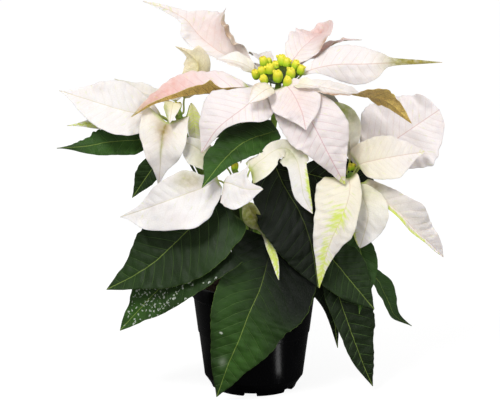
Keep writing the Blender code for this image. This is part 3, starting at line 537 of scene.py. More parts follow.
# Bracts: the middle rosette, from the back round to the front
topBracts = {
    "left_high": dict(height=300, rib=((6, 2, 327), (-14, 10, 340), (-37, 18, 351), (-55, 26, 364),
         (-70, 34, 380), (-88, 42, 389), (-114, 48, 397)), face=(0.1, -1, 0.05), tipFace=(0.3, -0.6, 0.7),
        fold=(8, 14), shape=((0, 3, 3), (0.1, 4, 8), (0.2, 5, 22), (0.3, 7, 40), (0.4, 11, 46),
         (0.5, 16, 40), (0.6, 16, 26), (0.65, 9, 17), (0.7, 6, 9), (0.8, 6, 6), (0.9, 3, 3)), wave=2.5,
        frill=0.9, curl=((0, 0, 0), (0.15, 0, 0), (0.25, 0, 150), (0.42, 0, 140), (0.54, 0, 0), (1, 0, 0)),
        look=(0.45, 0.1, 0), spots=(("brown", 0.33, 1, 0.12, 0.3, 0.8), ("pink", 0.45, 0.3, 0.3, 0.6, 0.4),
         ("lime", 0.9, 0, 0.14, 2, 0.35))),
    "left_small": dict(height=309, rib=((0, -5, 334), (-17, -7, 344), (-38, -9, 347)), face=(0, -0.6, 0.8),
        width=22, point=1.2, look=(0.3, 0.35, 0), spots=(("brown", 0.55, -0.6, 0.4, 0.25, 0.4),)),
    "back_left": dict(height=296, rib=((15, 14, 334), (8, 34, 342), (-2, 72, 336)), face=(0, 0.2, 1),
        width=24, look=(0.5, 0.1, 0)),
    "back": dict(height=290, rib=((27, 16, 326), (25, 36, 326), (20, 68, 320), (15, 105, 300)),
        face=(0, 0.3, 1), width=48, look=(0.6, 0.1, 0), spots=(("pink", 0.6, 0, 0.4, 1, 0.3),)),
    "right_high": dict(height=304, rib=((35, 6, 334), (47, 15, 351), (62, 26, 363), (70, 36, 366),
         (54, 48, 360)), face=(-0.25, -0.85, 0.45), tipFace=(-0.7, -0.4, 0.6), fold=(12, 12), width=44,
        belly=0.5, point=1.1, frill=0.9, look=(0.8, 0, 0.2), spots=(("pink", 0.75, 0, 0.3, 1.2, 0.8),
         ("brown", 0.5, 0.95, 0.08, 0.2, 0.8))),
    "right_back": dict(height=297, rib=((41, 8, 332), (70, 34, 348), (89, 48, 355), (112, 62, 354)),
        face=(0, 0.1, 1), width=26, wave=3, frill=0.9, look=(0.6, 0, 0.2),
        spots=(("pink", 0.6, 0, 0.5, 1.2, 0.8),)),
    "right": dict(height=302, rib=((49, -4, 330), (78, 0, 339), (113, 1, 340), (139, 2, 341), (192, 5, 341)),
        face=(0, -0.92, 0.4), fold=(-14, -18), shape=((0, 2, 2), (0.1, 9, 5), (0.2, 18, 12), (0.3, 22, 18),
         (0.4, 21, 21), (0.5, 17, 18), (0.55, 14, 14), (0.6, 10, 6), (0.64, 6.5, 3.5), (0.7, 5, 2.5),
         (0.84, 3, 1.5)), look=(0.6, 0, 1), spots=(("green", 0.82, 0, 0.18, 3, 1.5),
         ("brown", 0.82, 0, 0.18, 3, 0.5))),
    "right_front": dict(height=308, rib=((47, -26, 324), (72, -38, 323), (107, -42, 316), (132, -42, 311),
         (159, -40, 287)), face=(0, -0.55, 0.84), tipFace=(0.1, 0.82, 0.56), fold=(8, 8), shape=((0, 3, 3),
         (0.15, 11, 10), (0.3, 14, 12), (0.42, 14, 15), (0.5, 16, 18), (0.6, 16, 18), (0.7, 13, 15),
         (0.8, 8, 10), (0.9, 4, 5)), look=(0.5, 0.2, 1), spots=(("brown", 0.34, 0.95, 0.2, 0.25, 0.9),
         ("green", 1, 0, 0.2, 2, 0.4))),
    "front_inner": dict(height=312, rib=((40, -34, 326), (51, -41, 327), (66, -47, 325)),
        face=(0, -0.55, 0.85), width=17, look=(0.4, 0.9, 0), spots=(("brown", 0.7, 0.9, 0.4, 0.3, 0.35),)),
    "front_right": dict(height=300, rib=((38, -33, 314), (47, -44, 308), (60, -55, 288), (76, -58, 257),
         (92, -52, 226)), face=(-0.12, -0.9, 0.42), fold=(-8, -8), shape=((0, 8, 16), (0.1, 17, 26),
         (0.2, 25, 30), (0.3, 31, 31), (0.42, 33, 30), (0.55, 30, 22), (0.7, 21, 14), (0.85, 10, 7),
         (0.95, 3.5, 3)), heart=(4, 17), look=(1, 0, 0), spots=(("lime", 1, 0, 0.1, 2, 0.8),)),
    "front_small": dict(height=309, rib=((32, -37, 325), (39, -46, 319), (48, -58, 302), (52, -65, 285)),
        face=(0, -0.85, 0.55), fold=(-6, -6), shape=((0, 10, 16), (0.12, 16, 22), (0.3, 22, 26),
         (0.45, 24, 26), (0.6, 21, 21), (0.75, 14, 14), (0.88, 6, 6)), heart=(4, 13), look=(0.85, 0.15, 0),
        spots=(("pink", 0.4, 0, 0.4, 0.8, 0.25),)),
    "front_left": dict(height=303, rib=((14, -33, 317), (2, -44, 313), (-14, -54, 303), (-37, -59, 285),
         (-53, -55, 260)), face=(-0.08, -0.86, 0.5), fold=(-6, -6), shape=((0, 6, 6), (0.1, 21, 13),
         (0.2, 24, 19), (0.3, 23, 26), (0.4, 15, 32), (0.5, 9, 35), (0.6, 6, 32), (0.7, 5, 25),
         (0.8, 4.5, 18), (0.9, 3, 8)), look=(0.8, 0, 0)),
    "front_left_small": dict(height=311, rib=((18, -37, 323), (8, -50, 321), (-6, -61, 311)),
        face=(0, -0.75, 0.66), fold=(16, 16), width=22, look=(0.4, 0.7, 0),
        spots=(("brown", 0.6, 0.95, 0.5, 0.2, 0.4), ("brown", 0.6, -0.95, 0.5, 0.2, 0.4))),
    "left": dict(height=306, rib=((-6, -18, 320), (-34, -20, 316), (-70, -24, 312), (-100, -30, 305),
         (-124, -38, 293)), face=(0, -0.42, 0.9), fold=(78, 26), shape=((0, 2, 3), (0.08, 3, 12),
         (0.2, 5, 23), (0.27, 12, 25), (0.31, 19, 26), (0.35, 14, 27), (0.45, 11, 26), (0.6, 8, 21),
         (0.75, 5, 13), (0.88, 3, 6)), look=(1, 0, 1), spots=(("pink", 0.66, 0.6, 0.3, 0.9, 0.9),
         ("brown", 0.85, 0.5, 0.16, 0.9, 0.35), ("green", 1.02, 0, 0.12, 2, 1))),
}

# Bracts: the left rosette
leftBracts = {
    "far": dict(height=283, rib=((-95, -16, 290), (-116, -20, 293), (-134, -22, 297), (-164, -20, 306),
         (-198, -12, 315)), face=(0, -0.85, 0.52), fold=(8, 8), width=58, point=1.5, look=(0.15, 0.05, 0)),
    # its brown and green spots at the base and down the middle are painted shade along the crease, partly on
    # its own olive base; the lime at the tip is its own
    "front": dict(height=286, rib=((-88, -28, 285), (-92, -36, 275), (-94, -42, 260), (-95, -42, 241),
         (-97, -38, 220)), face=(-0.1, -0.95, 0.3), fold=(16, 16), shape=((0, 14, 24), (0.02, 15, 26),
         (0.1, 22, 26), (0.25, 27, 24), (0.4, 25, 19), (0.56, 19, 14), (0.64, 13, 11), (0.72, 7.5, 7.5),
         (0.88, 2.5, 2.5)), heart=(20, 9), look=(0.35, 0.3, 0), spots=(("brown", 0.14, 0, 0.18, 0.35, 0.6),
         ("green", 0.08, 0, 0.12, 0.3, 0.5), ("green", 0.3, 0, 0.3, 0.08, 0.7),
         ("lime", 1, 0, 0.1, 2, 0.4))),
    "beak": dict(height=292, rib=((-81, -24, 305), (-83, -34, 300), (-85, -44, 288)), face=(0, -0.7, 0.7),
        shape=((0, 9, 8), (0.3, 9, 9), (0.7, 5, 5)), look=(0.2, 1, 0),
        spots=(("green", 0.6, 0.9, 0.5, 0.5, 0.9),)),
    "inner": dict(height=286, rib=((-64, -14, 302), (-61, -22, 287), (-59, -26, 260)), face=(0.3, -0.9, 0.3),
        width=17, belly=0.55, point=0.9, look=(0.1, 1, 0), spots=(("green", 0.4, 0, 0.6, 1.2, 0.55),
         ("lime", 0.45, 0, 0.6, 2, 0.45))),
    "high": dict(height=290, rib=((-71, -6, 306), (-60, 2, 326), (-57, 8, 338), (-62, 11, 345),
         (-70, 12, 351), (-80, 13, 356)), face=(0.15, 1, -0.05), tipFace=(-0.5, 0.8, 0.4), shape=((0, 4, 4),
         (0.15, 9, 9), (0.35, 14, 14), (0.55, 14, 14), (0.7, 9, 8), (0.8, 4, 4), (0.9, 2, 2)),
        look=(0.1, 0.7, 0.25), spots=(("green", 0.45, 0, 0.4, 0.6, 0.45),)),
    "back_far": dict(height=280, rib=((-88, 2, 300), (-117, 18, 308), (-144, 35, 318)), face=(0, -0.3, 1),
        width=26, look=(0.2, 0.3, 0), spots=(("green", 1, 0, 0.3, 2, 0.4),)),
    "back": dict(height=284, rib=((-80, 2, 301), (-83, 28, 306), (-88, 56, 304)), face=(0, 0.1, 1),
        width=28),
    "low": dict(height=274, rib=((-92, -2, 284), (-118, 12, 280), (-143, 14, 277), (-192, 10, 274)),
        face=(0, -0.75, 0.66), width=26, point=1.7, look=(0.1, 0.6, 0),
        spots=(("lime", 0.8, 0, 0.4, 1.2, 0.8),)),
}

# Bracts: the small low rosette at the front
frontBracts = {
    # its olive and brown spots on the right half near the base are painted shade in the hollow there
    "left": dict(height=222, rib=((-36, -62, 233), (-50, -66, 227), (-64, -72, 223), (-89, -74, 214),
         (-115, -68, 203), (-135, -62, 195)), face=(-0.06, -0.93, 0.36), fold=(6, 6), shape=((0, 6, 5),
         (0.07, 14, 9), (0.14, 22, 13), (0.21, 30, 20), (0.3, 35, 24), (0.37, 37, 23), (0.48, 33, 21),
         (0.6, 29, 17), (0.7, 25, 11), (0.78, 21, 6), (0.85, 14, 4), (0.93, 5, 2)), heart=(4, 2),
        look=(0.1, 0, 0), spots=(("green", 0.26, 0.6, 0.15, 0.45, 0.5),
         ("brown", 0.24, 0.5, 0.12, 0.4, 0.3))),
    "upper_left": dict(height=229, rib=((-27, -50, 243), (-42, -40, 250), (-60, -35, 262), (-74, -34, 268)),
        face=(0.3, -0.9, 0.4), shape=((0, 6, 5), (0.2, 14, 9), (0.4, 19, 10), (0.6, 21, 10), (0.8, 18, 8),
         (0.92, 11, 5)), look=(0.1, 0.6, 0), spots=(("green", 0.4, 0, 0.5, 1.2, 0.4),)),
    "trumpet": dict(height=228, rib=((-30, -70, 233), (-22, -74, 232), (-10, -82, 229), (9, -84, 229)),
        face=(-0.1, -0.92, 0.3), fold=(2, 2), shape=((0, 5, 20), (0.1, 8, 22), (0.21, 12, 24),
         (0.29, 16, 24), (0.37, 21, 24), (0.415, 27, 24), (0.455, 24, 24), (0.525, 17, 22), (0.605, 12, 17),
         (0.72, 7, 12), (0.84, 4, 6), (0.94, 2.5, 2.5)), wave=0.6, look=(0, 0, 0),
        spots=(("brown", 0, 0.4, 0.1, 1, 0.3),)),
    "low": dict(height=216, rib=((-7, -56, 209), (2, -46, 188), (11, -37, 174), (16, -50, 163),
         (22, -60, 148), (25, -72, 132)), face=(-0.3, -0.9, 0.3), shape=((0, 5, 5), (0.1, 8, 9),
         (0.2, 8, 12), (0.3, 7, 10), (0.4, 6, 5), (0.55, 4, 4), (0.7, 4, 4.5), (0.85, 3, 3.5)),
        look=(0, 0.8, 0), spots=(("green", 0.18, 0, 0.25, 2, 1.1), ("brown", 0.15, -0.2, 0.2, 0.6, 0.3),
         ("lime", 0.8, 0, 0.4, 1.2, 0.9))),
    # its green spots at the base and in the hollow of the arch are painted shade, partly on its own olive;
    # the lime near the tip is its own
    "arch": dict(height=229, rib=((-4, -64, 244), (8, -60, 254), (24, -48, 262), (34, -44, 261),
         (43, -50, 251), (47, -58, 235), (50, -62, 217), (59, -64, 199)), face=(0, -0.8, 0.6),
        tipFace=(0.1, -1, 0.2), shape=((0, 8, 10), (0.06, 8, 17), (0.12, 6.5, 19), (0.2, 7.5, 16),
         (0.27, 9, 11), (0.37, 9, 10), (0.48, 13, 17), (0.55, 12, 16), (0.62, 8, 12), (0.76, 8, 11),
         (0.88, 6, 7)), heart=(0, 10), look=(0, 0.4, 0.3), spots=(("green", 0.45, 0.2, 0.1, 1, 0.5),
         ("lime", 0.8, -0.9, 0.25, 0.35, 0.9), ("green", 0.04, 0.3, 0.06, 1, 0.4))),
}

# Bracts: the right rosette
rightBracts = {
    "back": dict(height=222, rib=((110, -12, 238), (126, -9, 250), (150, -4, 266), (190, 4, 292)),
        face=(0, -0.95, 0.3), fold=(6, 6), shape=((0, 4, 4), (0.1, 16, 10), (0.2, 29, 20), (0.3, 41, 28),
         (0.4, 44, 34), (0.5, 44, 39), (0.6, 41, 43), (0.7, 36, 39), (0.8, 31, 31), (0.9, 25, 22),
         (0.96, 17, 15)), wave=2.5, waves=3, frill=0.9, look=(0.7, 0, 0)),
    "mid": dict(height=226, rib=((106, -30, 241), (123, -36, 248), (146, -34, 252), (174, -24, 254)),
        face=(0, -0.92, 0.4), fold=(8, 8), shape=((0, 12, 8), (0.03, 17, 10), (0.18, 22, 18), (0.33, 23, 22),
         (0.5, 22, 24), (0.63, 18, 19), (0.75, 13, 12), (0.85, 8, 6), (0.93, 4, 3)), heart=(4, 0),
        look=(0.5, 0.8, 0), spots=(("green", 0.02, 0.5, 0.1, 0.6, 0.35), ("lime", 1, 0, 0.12, 2, 0.4))),
    # its green and brown spots at the base are partly its own olive and partly painted shade
    "low": dict(height=217, rib=((112, -22, 221), (124, -29, 212), (138, -33, 201), (151, -35, 190),
         (164, -35, 175), (178, -33, 162), (194, -30, 145)), face=(-0.3, -0.8, 0.5), fold=(16, 40),
        shape=((0, 4, 3), (0.1, 10, 4), (0.2, 14, 5), (0.3, 17, 6), (0.4, 19, 6), (0.5, 24, 6), (0.6, 21, 6),
         (0.7, 17, 5), (0.8, 13, 4), (0.9, 8, 3)), look=(0.5, 0.3, 0),
        spots=(("lime", 0.5, 0.8, 0.5, 0.45, 0.8), ("green", 0.3, 0.8, 0.3, 0.45, 0.6),
         ("green", 0.12, 0, 0.1, 1, 0.5), ("brown", 0.08, -0.5, 0.08, 0.4, 0.3))),
    "front": dict(height=220, rib=((96, -40, 230), (97, -52, 221), (94, -60, 209), (88, -66, 194),
         (78, -70, 173), (71, -72, 151), (66, -73, 124)), face=(0.08, -0.96, 0.28), fold=(-6, -6),
        shape=((0, 8, 22), (0.06, 10, 28), (0.14, 12, 34), (0.22, 14, 34), (0.31, 15, 32), (0.4, 17, 28),
         (0.49, 18, 25), (0.58, 14, 20), (0.68, 10, 15), (0.78, 6, 9), (0.88, 3, 5)), heart=(10, 6),
        look=(0.35, 0.7, 0), spots=(("lime", 0.38, 0.05, 0.12, 0.5, 0.62),
         ("lime", 0.62, 0.2, 0.2, 0.3, 0.5), ("lime", 0.98, 0, 0.22, 2, 1))),
    "front_low": dict(height=209, rib=((104, -30, 218), (113, -38, 204), (116, -42, 192), (108, -44, 158)),
        face=(-0.05, -0.9, 0.42), fold=(-6, -6), width=42, belly=0.42, point=0.9, look=(0.1, 0.5, 0),
        spots=(("green", 0.1, 0, 0.16, 1, 0.4), ("lime", 0.8, 0.95, 0.3, 0.3, 1))),
    "high": dict(height=227, rib=((98, -12, 242), (95, -14, 274), (82, -9, 303)), face=(0, 1, 0.1), width=32,
        belly=0.6, point=0.9, look=(0.1, 0.3, 0), spots=(("green", 0.9, 0, 0.33, 2, 1),)),
    "back_low": dict(height=216, rib=((108, -4, 232), (118, 20, 242), (130, 52, 236), (138, 80, 214)),
        face=(0.1, 0.3, 1), width=50),
}

# Bracts: the rosette at the back
backBracts = {
    "middle": dict(height=262, rib=((12, 88, 284), (13, 110, 292), (14, 135, 280), (16, 158, 252)),
        face=(0, 0.5, 1), width=52),
    "left": dict(height=268, rib=((-4, 80, 288), (-24, 96, 298), (-44, 110, 297), (-62, 120, 287)),
        face=(-0.3, 0.4, 1), width=40),
    "right": dict(height=270, rib=((23, 80, 286), (45, 96, 290), (75, 110, 280), (104, 118, 256)),
        face=(0.3, 0.4, 1), width=46),
    "low": dict(height=252, rib=((-2, 88, 266), (-5, 108, 264), (-10, 124, 240), (-14, 128, 208)),
        face=(-0.2, 0.9, 0.6), width=42),
}

# Leaves: from every stem, under the rosettes. Their green spots are partly painted light, their brown
# spots are painted shade, and their pink spots are water drops painted as white highlights; a low
# brightness in look is partly painted shade.
leaves = {
    "upper_front": dict(stem="top", height=262, rib=((24, -22, 275), (11, -32, 274), (-4, -42, 271),
         (-19, -54, 264), (-34, -68, 251), (-52, -86, 231)), face=(0, -0.75, 0.65), fold=(8, 8),
        shape=((0, 7, 12), (0.1, 15, 15), (0.2, 20, 18), (0.3, 21, 20), (0.4, 21, 24), (0.5, 18, 20),
         (0.6, 13, 18), (0.7, 9, 19), (0.8, 7, 14), (0.9, 3.5, 5)), look=(0.45, 0, 0),
        spots=(("green", 0.15, -0.7, 0.3, 0.6, 0.6), ("green", 0.8, 0, 0.3, 1.5, 0.5),
         ("brown", 0.3, 0.7, 0.3, 0.5, 0.8))),
    "upper_left": dict(stem="top", height=250, rib=((-8, 6, 268), (-40, 10, 268), (-66, 10, 250)),
        face=(0, -0.6, 0.8), width=30, look=(0.2, 0, 0)),
    "left_high": dict(stem="left", height=255, rib=((-91, -8, 268), (-115, -10, 264), (-147, -14, 262),
         (-172, -16, 258), (-201, -16, 256)), face=(0, -0.85, 0.55), fold=(10, 10), width=34, belly=0.42,
        point=1.9, lobes=((0.4, 1, 0.2), (0.3, -1, 0.15)), frill=1.6, look=(0.75, 0, 0),
        spots=(("brown", 1, 0, 0.2, 2, 0.6),)),
    "left_behind": dict(stem="left", height=209, rib=((-79, -22, 260), (-92, -26, 252), (-106, -30, 234),
         (-124, -28, 207)), face=(0.1, -0.9, 0.4), shape=((0, 3, 3), (0.3, 8, 8), (0.5, 11, 13),
         (0.65, 10, 12), (0.8, 6, 7), (0.9, 3, 3.5)), frill=0.8, look=(0.2, 0, 0)),
    "left_front": dict(stem="front", height=178, rib=((-32, -40, 210), (-50, -52, 195), (-67, -58, 180),
         (-101, -62, 148), (-126, -60, 131), (-150, -54, 117)), face=(-0.1, -0.82, 0.56), fold=(5, 8),
        shape=((0, 26, 8), (0.1, 44, 22), (0.2, 48, 32), (0.3, 51, 36), (0.4, 50, 37), (0.5, 45, 35),
         (0.6, 36, 33), (0.7, 25, 27), (0.8, 15, 17), (0.9, 8, 9)), look=(0.12, 0, 0),
        spots=(("green", 0.9, 0, 0.2, 2, 0.25), ("green", 0.1, -0.9, 0.3, 0.3, 0.3),
         ("brown", 0.02, 0, 0.1, 3, 0.5))),
    "left_low": dict(stem="front", height=150, rib=((-39, -46, 175), (-57, -60, 164), (-77, -64, 140),
         (-106, -58, 109), (-137, -48, 72)), face=(-0.1, -0.75, 0.65), fold=(6, 6), shape=((0, 46, 10),
         (0.1, 48, 18), (0.2, 45, 24), (0.3, 40, 28), (0.4, 35, 31), (0.5, 31, 31), (0.6, 27, 29),
         (0.7, 21, 25), (0.8, 14, 16), (0.9, 8, 9)), look=(0.35, 0, 0),
        spots=(("pink", 0.62, -0.1, 0.3, 1.6, 0.7), ("green", 1, 0, 0.3, 2, 0.7),
         ("brown", 0.1, 0, 0.25, 2, 1))),
    "front_large": dict(stem="trunk", height=117, rib=((18, -36, 165), (14, -52, 147), (6, -68, 121),
         (-5, -77, 98), (-14, -80, 74), (-26, -79, 45), (-38, -74, 9)), face=(0.25, -0.9, 0.35), fold=(4, 8),
        shape=((0, 15, 30), (0.1, 41, 37), (0.2, 55, 41), (0.3, 55, 43), (0.4, 51, 43), (0.5, 43, 40),
         (0.6, 38, 34), (0.7, 30, 26), (0.8, 20, 18), (0.9, 11, 9)), look=(0.12, 0, 0),
        spots=(("green", 0.75, -0.3, 0.3, 0.9, 0.9), ("green", 0.45, 0.7, 0.3, 0.5, 0.4),
         ("brown", 0.08, 0, 0.18, 3, 1), ("brown", 0.3, -0.75, 0.2, 0.6, 0.9),
         ("pink", 0.6, 0.5, 0.25, 0.6, 0.08), ("lime", 0.78, 0.35, 0.025, 0.18, 0.6))),
    "centre": dict(stem="top", height=228, rib=((18, -25, 246), (30, -38, 223), (47, -48, 195),
         (58, -57, 165), (65, -62, 122)), face=(0.06, -0.92, 0.36), fold=(6, 2), shape=((0, 5, 6),
         (0.1, 14, 28), (0.2, 20, 34), (0.3, 22, 40), (0.4, 22, 44), (0.5, 22, 43), (0.6, 21, 39),
         (0.7, 18, 34), (0.8, 12, 26), (0.9, 7, 14)), look=(0.02, 0, 0),
        spots=(("brown", 0.55, 0.2, 0.5, 2, 0.8),)),
    "right_front": dict(stem="right", height=165, rib=((70, -34, 159), (82, -42, 144), (99, -48, 124),
         (123, -46, 94)), face=(0.1, -0.88, 0.46), fold=(6, 6), width=52, belly=0.34, point=1.2,
        look=(0.15, 0, 0), spots=(("pink", 0.6, 0, 0.4, 1.5, 0.08),)),
    "right_low": dict(stem="right", height=150, rib=((76, -34, 134), (88, -42, 103), (99, -42, 71),
         (116, -36, 24), (123, -30, 7)), face=(0.3, -0.88, 0.36), fold=(6, 10), shape=((0, 8, 8),
         (0.15, 22, 16), (0.36, 31, 15), (0.53, 27, 14), (0.65, 20, 13), (0.78, 14, 9), (0.9, 6, 4)),
        look=(0.06, 0, 0), spots=(("pink", 0.6, 0, 0.4, 1.5, 0.06),)),
    "right_narrow": dict(stem="right", height=158, rib=((113, 6, 126), (128, 4, 112), (138, 3, 93),
         (147, 0, 74), (164, -3, 64)), face=(0.4, -0.45, 0.8), width=28, point=1.5, look=(0.5, 0, 0),
        spots=(("brown", 0.95, 0, 0.3, 3, 0.8),)),
    "right_behind": dict(stem="right", height=186, rib=((97, -14, 173), (112, -31, 137), (108, -42, 88)),
        face=(0.15, -0.9, 0.35), width=30, look=(0.5, 0, 0), spots=(("green", 1, 0, 0.2, 3, 1),)),
    "right_high": dict(stem="top", height=205, rib=((47, 8, 224), (78, 12, 216), (112, 14, 203),
         (143, 14, 185)), face=(0, -0.86, 0.5), width=54, look=(0, 0, 0)),
    "front_right": dict(stem="trunk", height=122, rib=((50, -8, 148), (78, -18, 98), (87, -15, 44)),
        face=(0.2, -0.92, 0.3), shape=((0, 5, 6), (0.15, 12, 16), (0.35, 12, 18), (0.55, 9, 12),
         (0.75, 5, 6)), look=(0, 0, 0)),
    "back_left": dict(stem="trunk", height=124, rib=((-34, 34, 168), (-64, 58, 152), (-92, 80, 112),
         (-104, 92, 72)), face=(-0.4, 0.6, 0.7), width=62, look=(0.2, 0, 0)),
    "back_right": dict(stem="trunk", height=128, rib=((34, 36, 172), (62, 62, 158), (88, 86, 118),
         (98, 100, 78)), face=(0.4, 0.6, 0.7), width=62, look=(0.2, 0, 0)),
    "back": dict(stem="back", height=150, rib=((0, 50, 176), (-2, 84, 164), (-4, 112, 120), (-6, 122, 74)),
        face=(0, 0.8, 0.6), width=66, look=(0.2, 0, 0)),
    "back_side": dict(stem="left", height=185, rib=((-40, 24, 200), (-68, 46, 196), (-88, 66, 174),
         (-98, 84, 148)), face=(-0.3, 0.4, 0.9), width=46, look=(0.2, 0, 0)),
}

rosettes = dict(top=topBracts, left=leftBracts, front=frontBracts, right=rightBracts, back=backBracts)
for stemName, group in rosettes.items():
    for blade in group.values():
        blade["stem"] = stemName


# Injection-moulded polypropylene: black, glossy, with a faint orange peel and a few rubbed scratches.
plasticFinish = dict(colour="#020203", dust="#0c0c0d", roughness=0.20, peelSize=9.0, scratchSize=1.2)


def plasticMaterial():
    finish = plasticFinish
    material, tree, shader, paint = startMaterial("polypropylene, black, injection moulded", finish)
    place = addNode(tree, "TexCoord", {}).node.outputs["Object"]
    stretched = addNode(tree, "Mapping", {"Scale": (1.0, 1.0, 0.25), "Vector": place})
    peel = addNode(tree, "TexNoise", {"Scale": 1 / (finish["peelSize"] * mm), "Detail": 2.0, "Vector": place})
    scratches = addNode(tree, "TexNoise", {"Scale": 1 / (finish["scratchSize"] * mm), "Detail": 6.0,
                                           "Roughness": 0.7, "Vector": stretched})
    film = addNode(tree, "Math", {0: scratches, 1: 2.4, 2: -1.25})
    rough = addNode(tree, "Math", {0: film, 1: 0.35, 2: finish["roughness"]})
    bump = addNode(tree, "Bump", {"Strength": 0.12, "Distance": 0.3 * mm, "Height": peel})
    connect(tree, shader, {
        "Base Color": layered(tree, paint, "colour", (("dust", film, 0.6),)), "Normal": bump,
        "Roughness": rough, "IOR": 1.49, "Specular IOR Level": 0.22})
    return material


# The pot: a lip, a small outward step in the wall, a ridge near the foot, notches in the foot ring and
# drain holes in the floor
pot = dict(sides=168, wall=1.8, rimRadius=65.0, rimHeight=113.0, rimThick=2.4, lipHeight=15.0,
           stepHeight=59.0, stepOut=0.8, ridgeHeight=14.5, ridgeRadius=51.5, footRadius=43.5, footLift=3.0,
           floorTop=5.0, bossRadius=14.0, notchWidth=14.0, notchCount=6, notchFirst=-95.0, drainRadius=3.5,
           drainCircle=26.0, drainCount=5)


def wallRadius(height):
    # a straight cone from the ridge up to 2 mm inside the rim, stepped outwards half way
    out = pot["stepOut"]
    slope = (pot["rimRadius"] - 2.0 - out - pot["ridgeRadius"]) / (
        pot["rimHeight"] - pot["lipHeight"] - pot["ridgeHeight"])
    return pot["ridgeRadius"] + slope * (height - pot["ridgeHeight"]) + out * (height > pot["stepHeight"])


def turnedRings(profile, angles):
    # each profile point (radius, height) goes once round the axis
    profile = np.array(profile, float)
    radius, height = profile[:, 0, None], profile[:, 1, None]
    return np.stack((radius * np.cos(angles), radius * np.sin(angles), height + 0 * angles), axis=-1)


def addDrains(collection):
    # an upright cylinder through the floor for each hole, all at one distance from the middle
    for turn in circle(pot["drainCount"]):
        centre = np.array((pot["drainCircle"] * math.cos(turn), pot["drainCircle"] * math.sin(turn), 0))
        ends = (-1, pot["floorTop"] + 1)
        rings = turnedRings([(pot["drainRadius"], height) for height in ends], circle(24)) + centre
        points, quads, caps = skinRings(rings, centre + (0, 0, ends[0]), centre + (0, 0, ends[1]))
        mesh = bpy.data.meshes.new("drain")
        mesh.from_pydata((points * mm).tolist(), [], quads.tolist() + caps.tolist())
        collection.objects.link(bpy.data.objects.new("drain", mesh))


def makePot(material):
    # the profile goes from the boss under the floor out to the foot, up the wall to the rim and back inside
    rim, lip = pot["rimHeight"], pot["rimHeight"] - pot["lipHeight"]
    out, foot, step, ridge = pot["rimRadius"], pot["footRadius"], pot["stepHeight"], pot["ridgeHeight"]
    wall, lift, boss, inner = pot["wall"], pot["footLift"], pot["bossRadius"], out - pot["rimThick"]
    belt = pot["ridgeRadius"]
    profile = [
        (boss - 0.5, 0), (boss, 0.3), (boss + 1.5, lift), (foot - 6.5, lift), (foot - 5.4, 0.4),
        (foot - 5, 0), (foot - 0.4, 0), (foot, 0.4), (foot + 1.5, 4), (belt - 1.2, ridge - 2.6),
        (belt - 0.3, ridge - 1.6), (belt, ridge - 0.6), (belt, ridge), (wallRadius(ridge + 0.7), ridge + 0.7),
        (wallRadius(step - 0.9), step - 0.9), (wallRadius(step - 0.4) + 0.1, step - 0.4),
        (wallRadius(step + 0.4) - 0.1, step + 0.4), (wallRadius(step + 0.9), step + 0.9),
        (wallRadius(lip - 1.5), lip - 1.5), (out - 0.5, lip - 0.2), (out, lip + 0.4), (out, rim - 1.3),
        (out - 0.3, rim - 0.5), (out - 0.9, rim - 0.05), (inner + 0.5, rim), (inner, rim - 0.5), (inner, lip),
        (wallRadius(lip - 3) - wall, lip - 3), (wallRadius(step) - wall, step - 1), (belt - wall, ridge),
        (foot, pot["floorTop"])]
    centres = math.radians(pot["notchFirst"]) + circle(pot["notchCount"])
    halfNotch = 0.5 * pot["notchWidth"] / foot
    edges = [centres + side * halfNotch + small for side in (-1, 1) for small in (-0.006, 0.006)]
    angles = np.sort(np.concatenate((circle(pot["sides"]), *np.array(edges) % (2 * math.pi))))
    away = np.abs((angles[:, None] - centres + math.pi) % (2 * math.pi) - math.pi).min(1)
    rings = turnedRings(profile, angles)
    onFoot = (rings[..., 2] < lift) & (np.hypot(rings[..., 0], rings[..., 1]) > foot - 6)
    rings[..., 2] = np.where(onFoot & (away < halfNotch), lift, rings[..., 2])
    shell = (*skinRings(rings, (0, 0, 0), (0, 0, pot["floorTop"])), {})
    piece = makePiece("nursery_pot", [shell], material, "black_plastic", "pot", sharpAngle=32)
    cutters = bpy.data.collections.new("drains")
    bpy.context.scene.collection.children.link(cutters)
    addDrains(cutters)
    cut = piece.modifiers.new("drains", "BOOLEAN")
    cut.operation, cut.operand_type, cut.collection, cut.solver = "DIFFERENCE", "COLLECTION", cutters, "EXACT"
    finished = bpy.data.meshes.new_from_object(piece.evaluated_get(bpy.context.evaluated_depsgraph_get()))
    piece.modifiers.clear()
    piece.data = finished
    for hole in list(cutters.objects):
        bpy.data.objects.remove(hole, do_unlink=True)
    bpy.data.collections.remove(cutters)
    print("made the pot with", len(finished.polygons), "faces")


# Peat-based potting compost, loose: dark brown, matt, with fibres, bark crumbs and white perlite grains
soilFinish = dict(peat="#2b1d13", dry="#4f3a27", perlite="#d9d4c8", crumbSize=2.2)
soil = dict(top=102.0, base=5.3, gap=0.6, hole=6.3, holeBottom=69.7, crumbs=230, whiteShare=0.12,
            roughness=1.1, seed=7)


def soilMaterial():
    material, tree, shader, paint = startMaterial("potting compost, loose peat", soilFinish)
    place = addNode(tree, "TexCoord", {}).node.outputs["Object"]
    _, dry, white, _ = readings(tree, "crumb")
    noise = addNode(tree, "TexNoise", {"Scale": 1 / (soilFinish["crumbSize"] * mm), "Detail": 8.0,
                                       "Roughness": 0.7, "Vector": place})
    layers = (("dry", noise, 1.5, -0.45), ("dry", dry, 0.7), ("perlite", white, 1.0))
    bump = addNode(tree, "Bump", {"Strength": 0.9, "Distance": 1.2 * mm, "Height": noise})
    connect(tree, shader, {"Base Color": layered(tree, paint, "peat", layers), "Normal": bump,
                           "Roughness": 0.95})
    return material


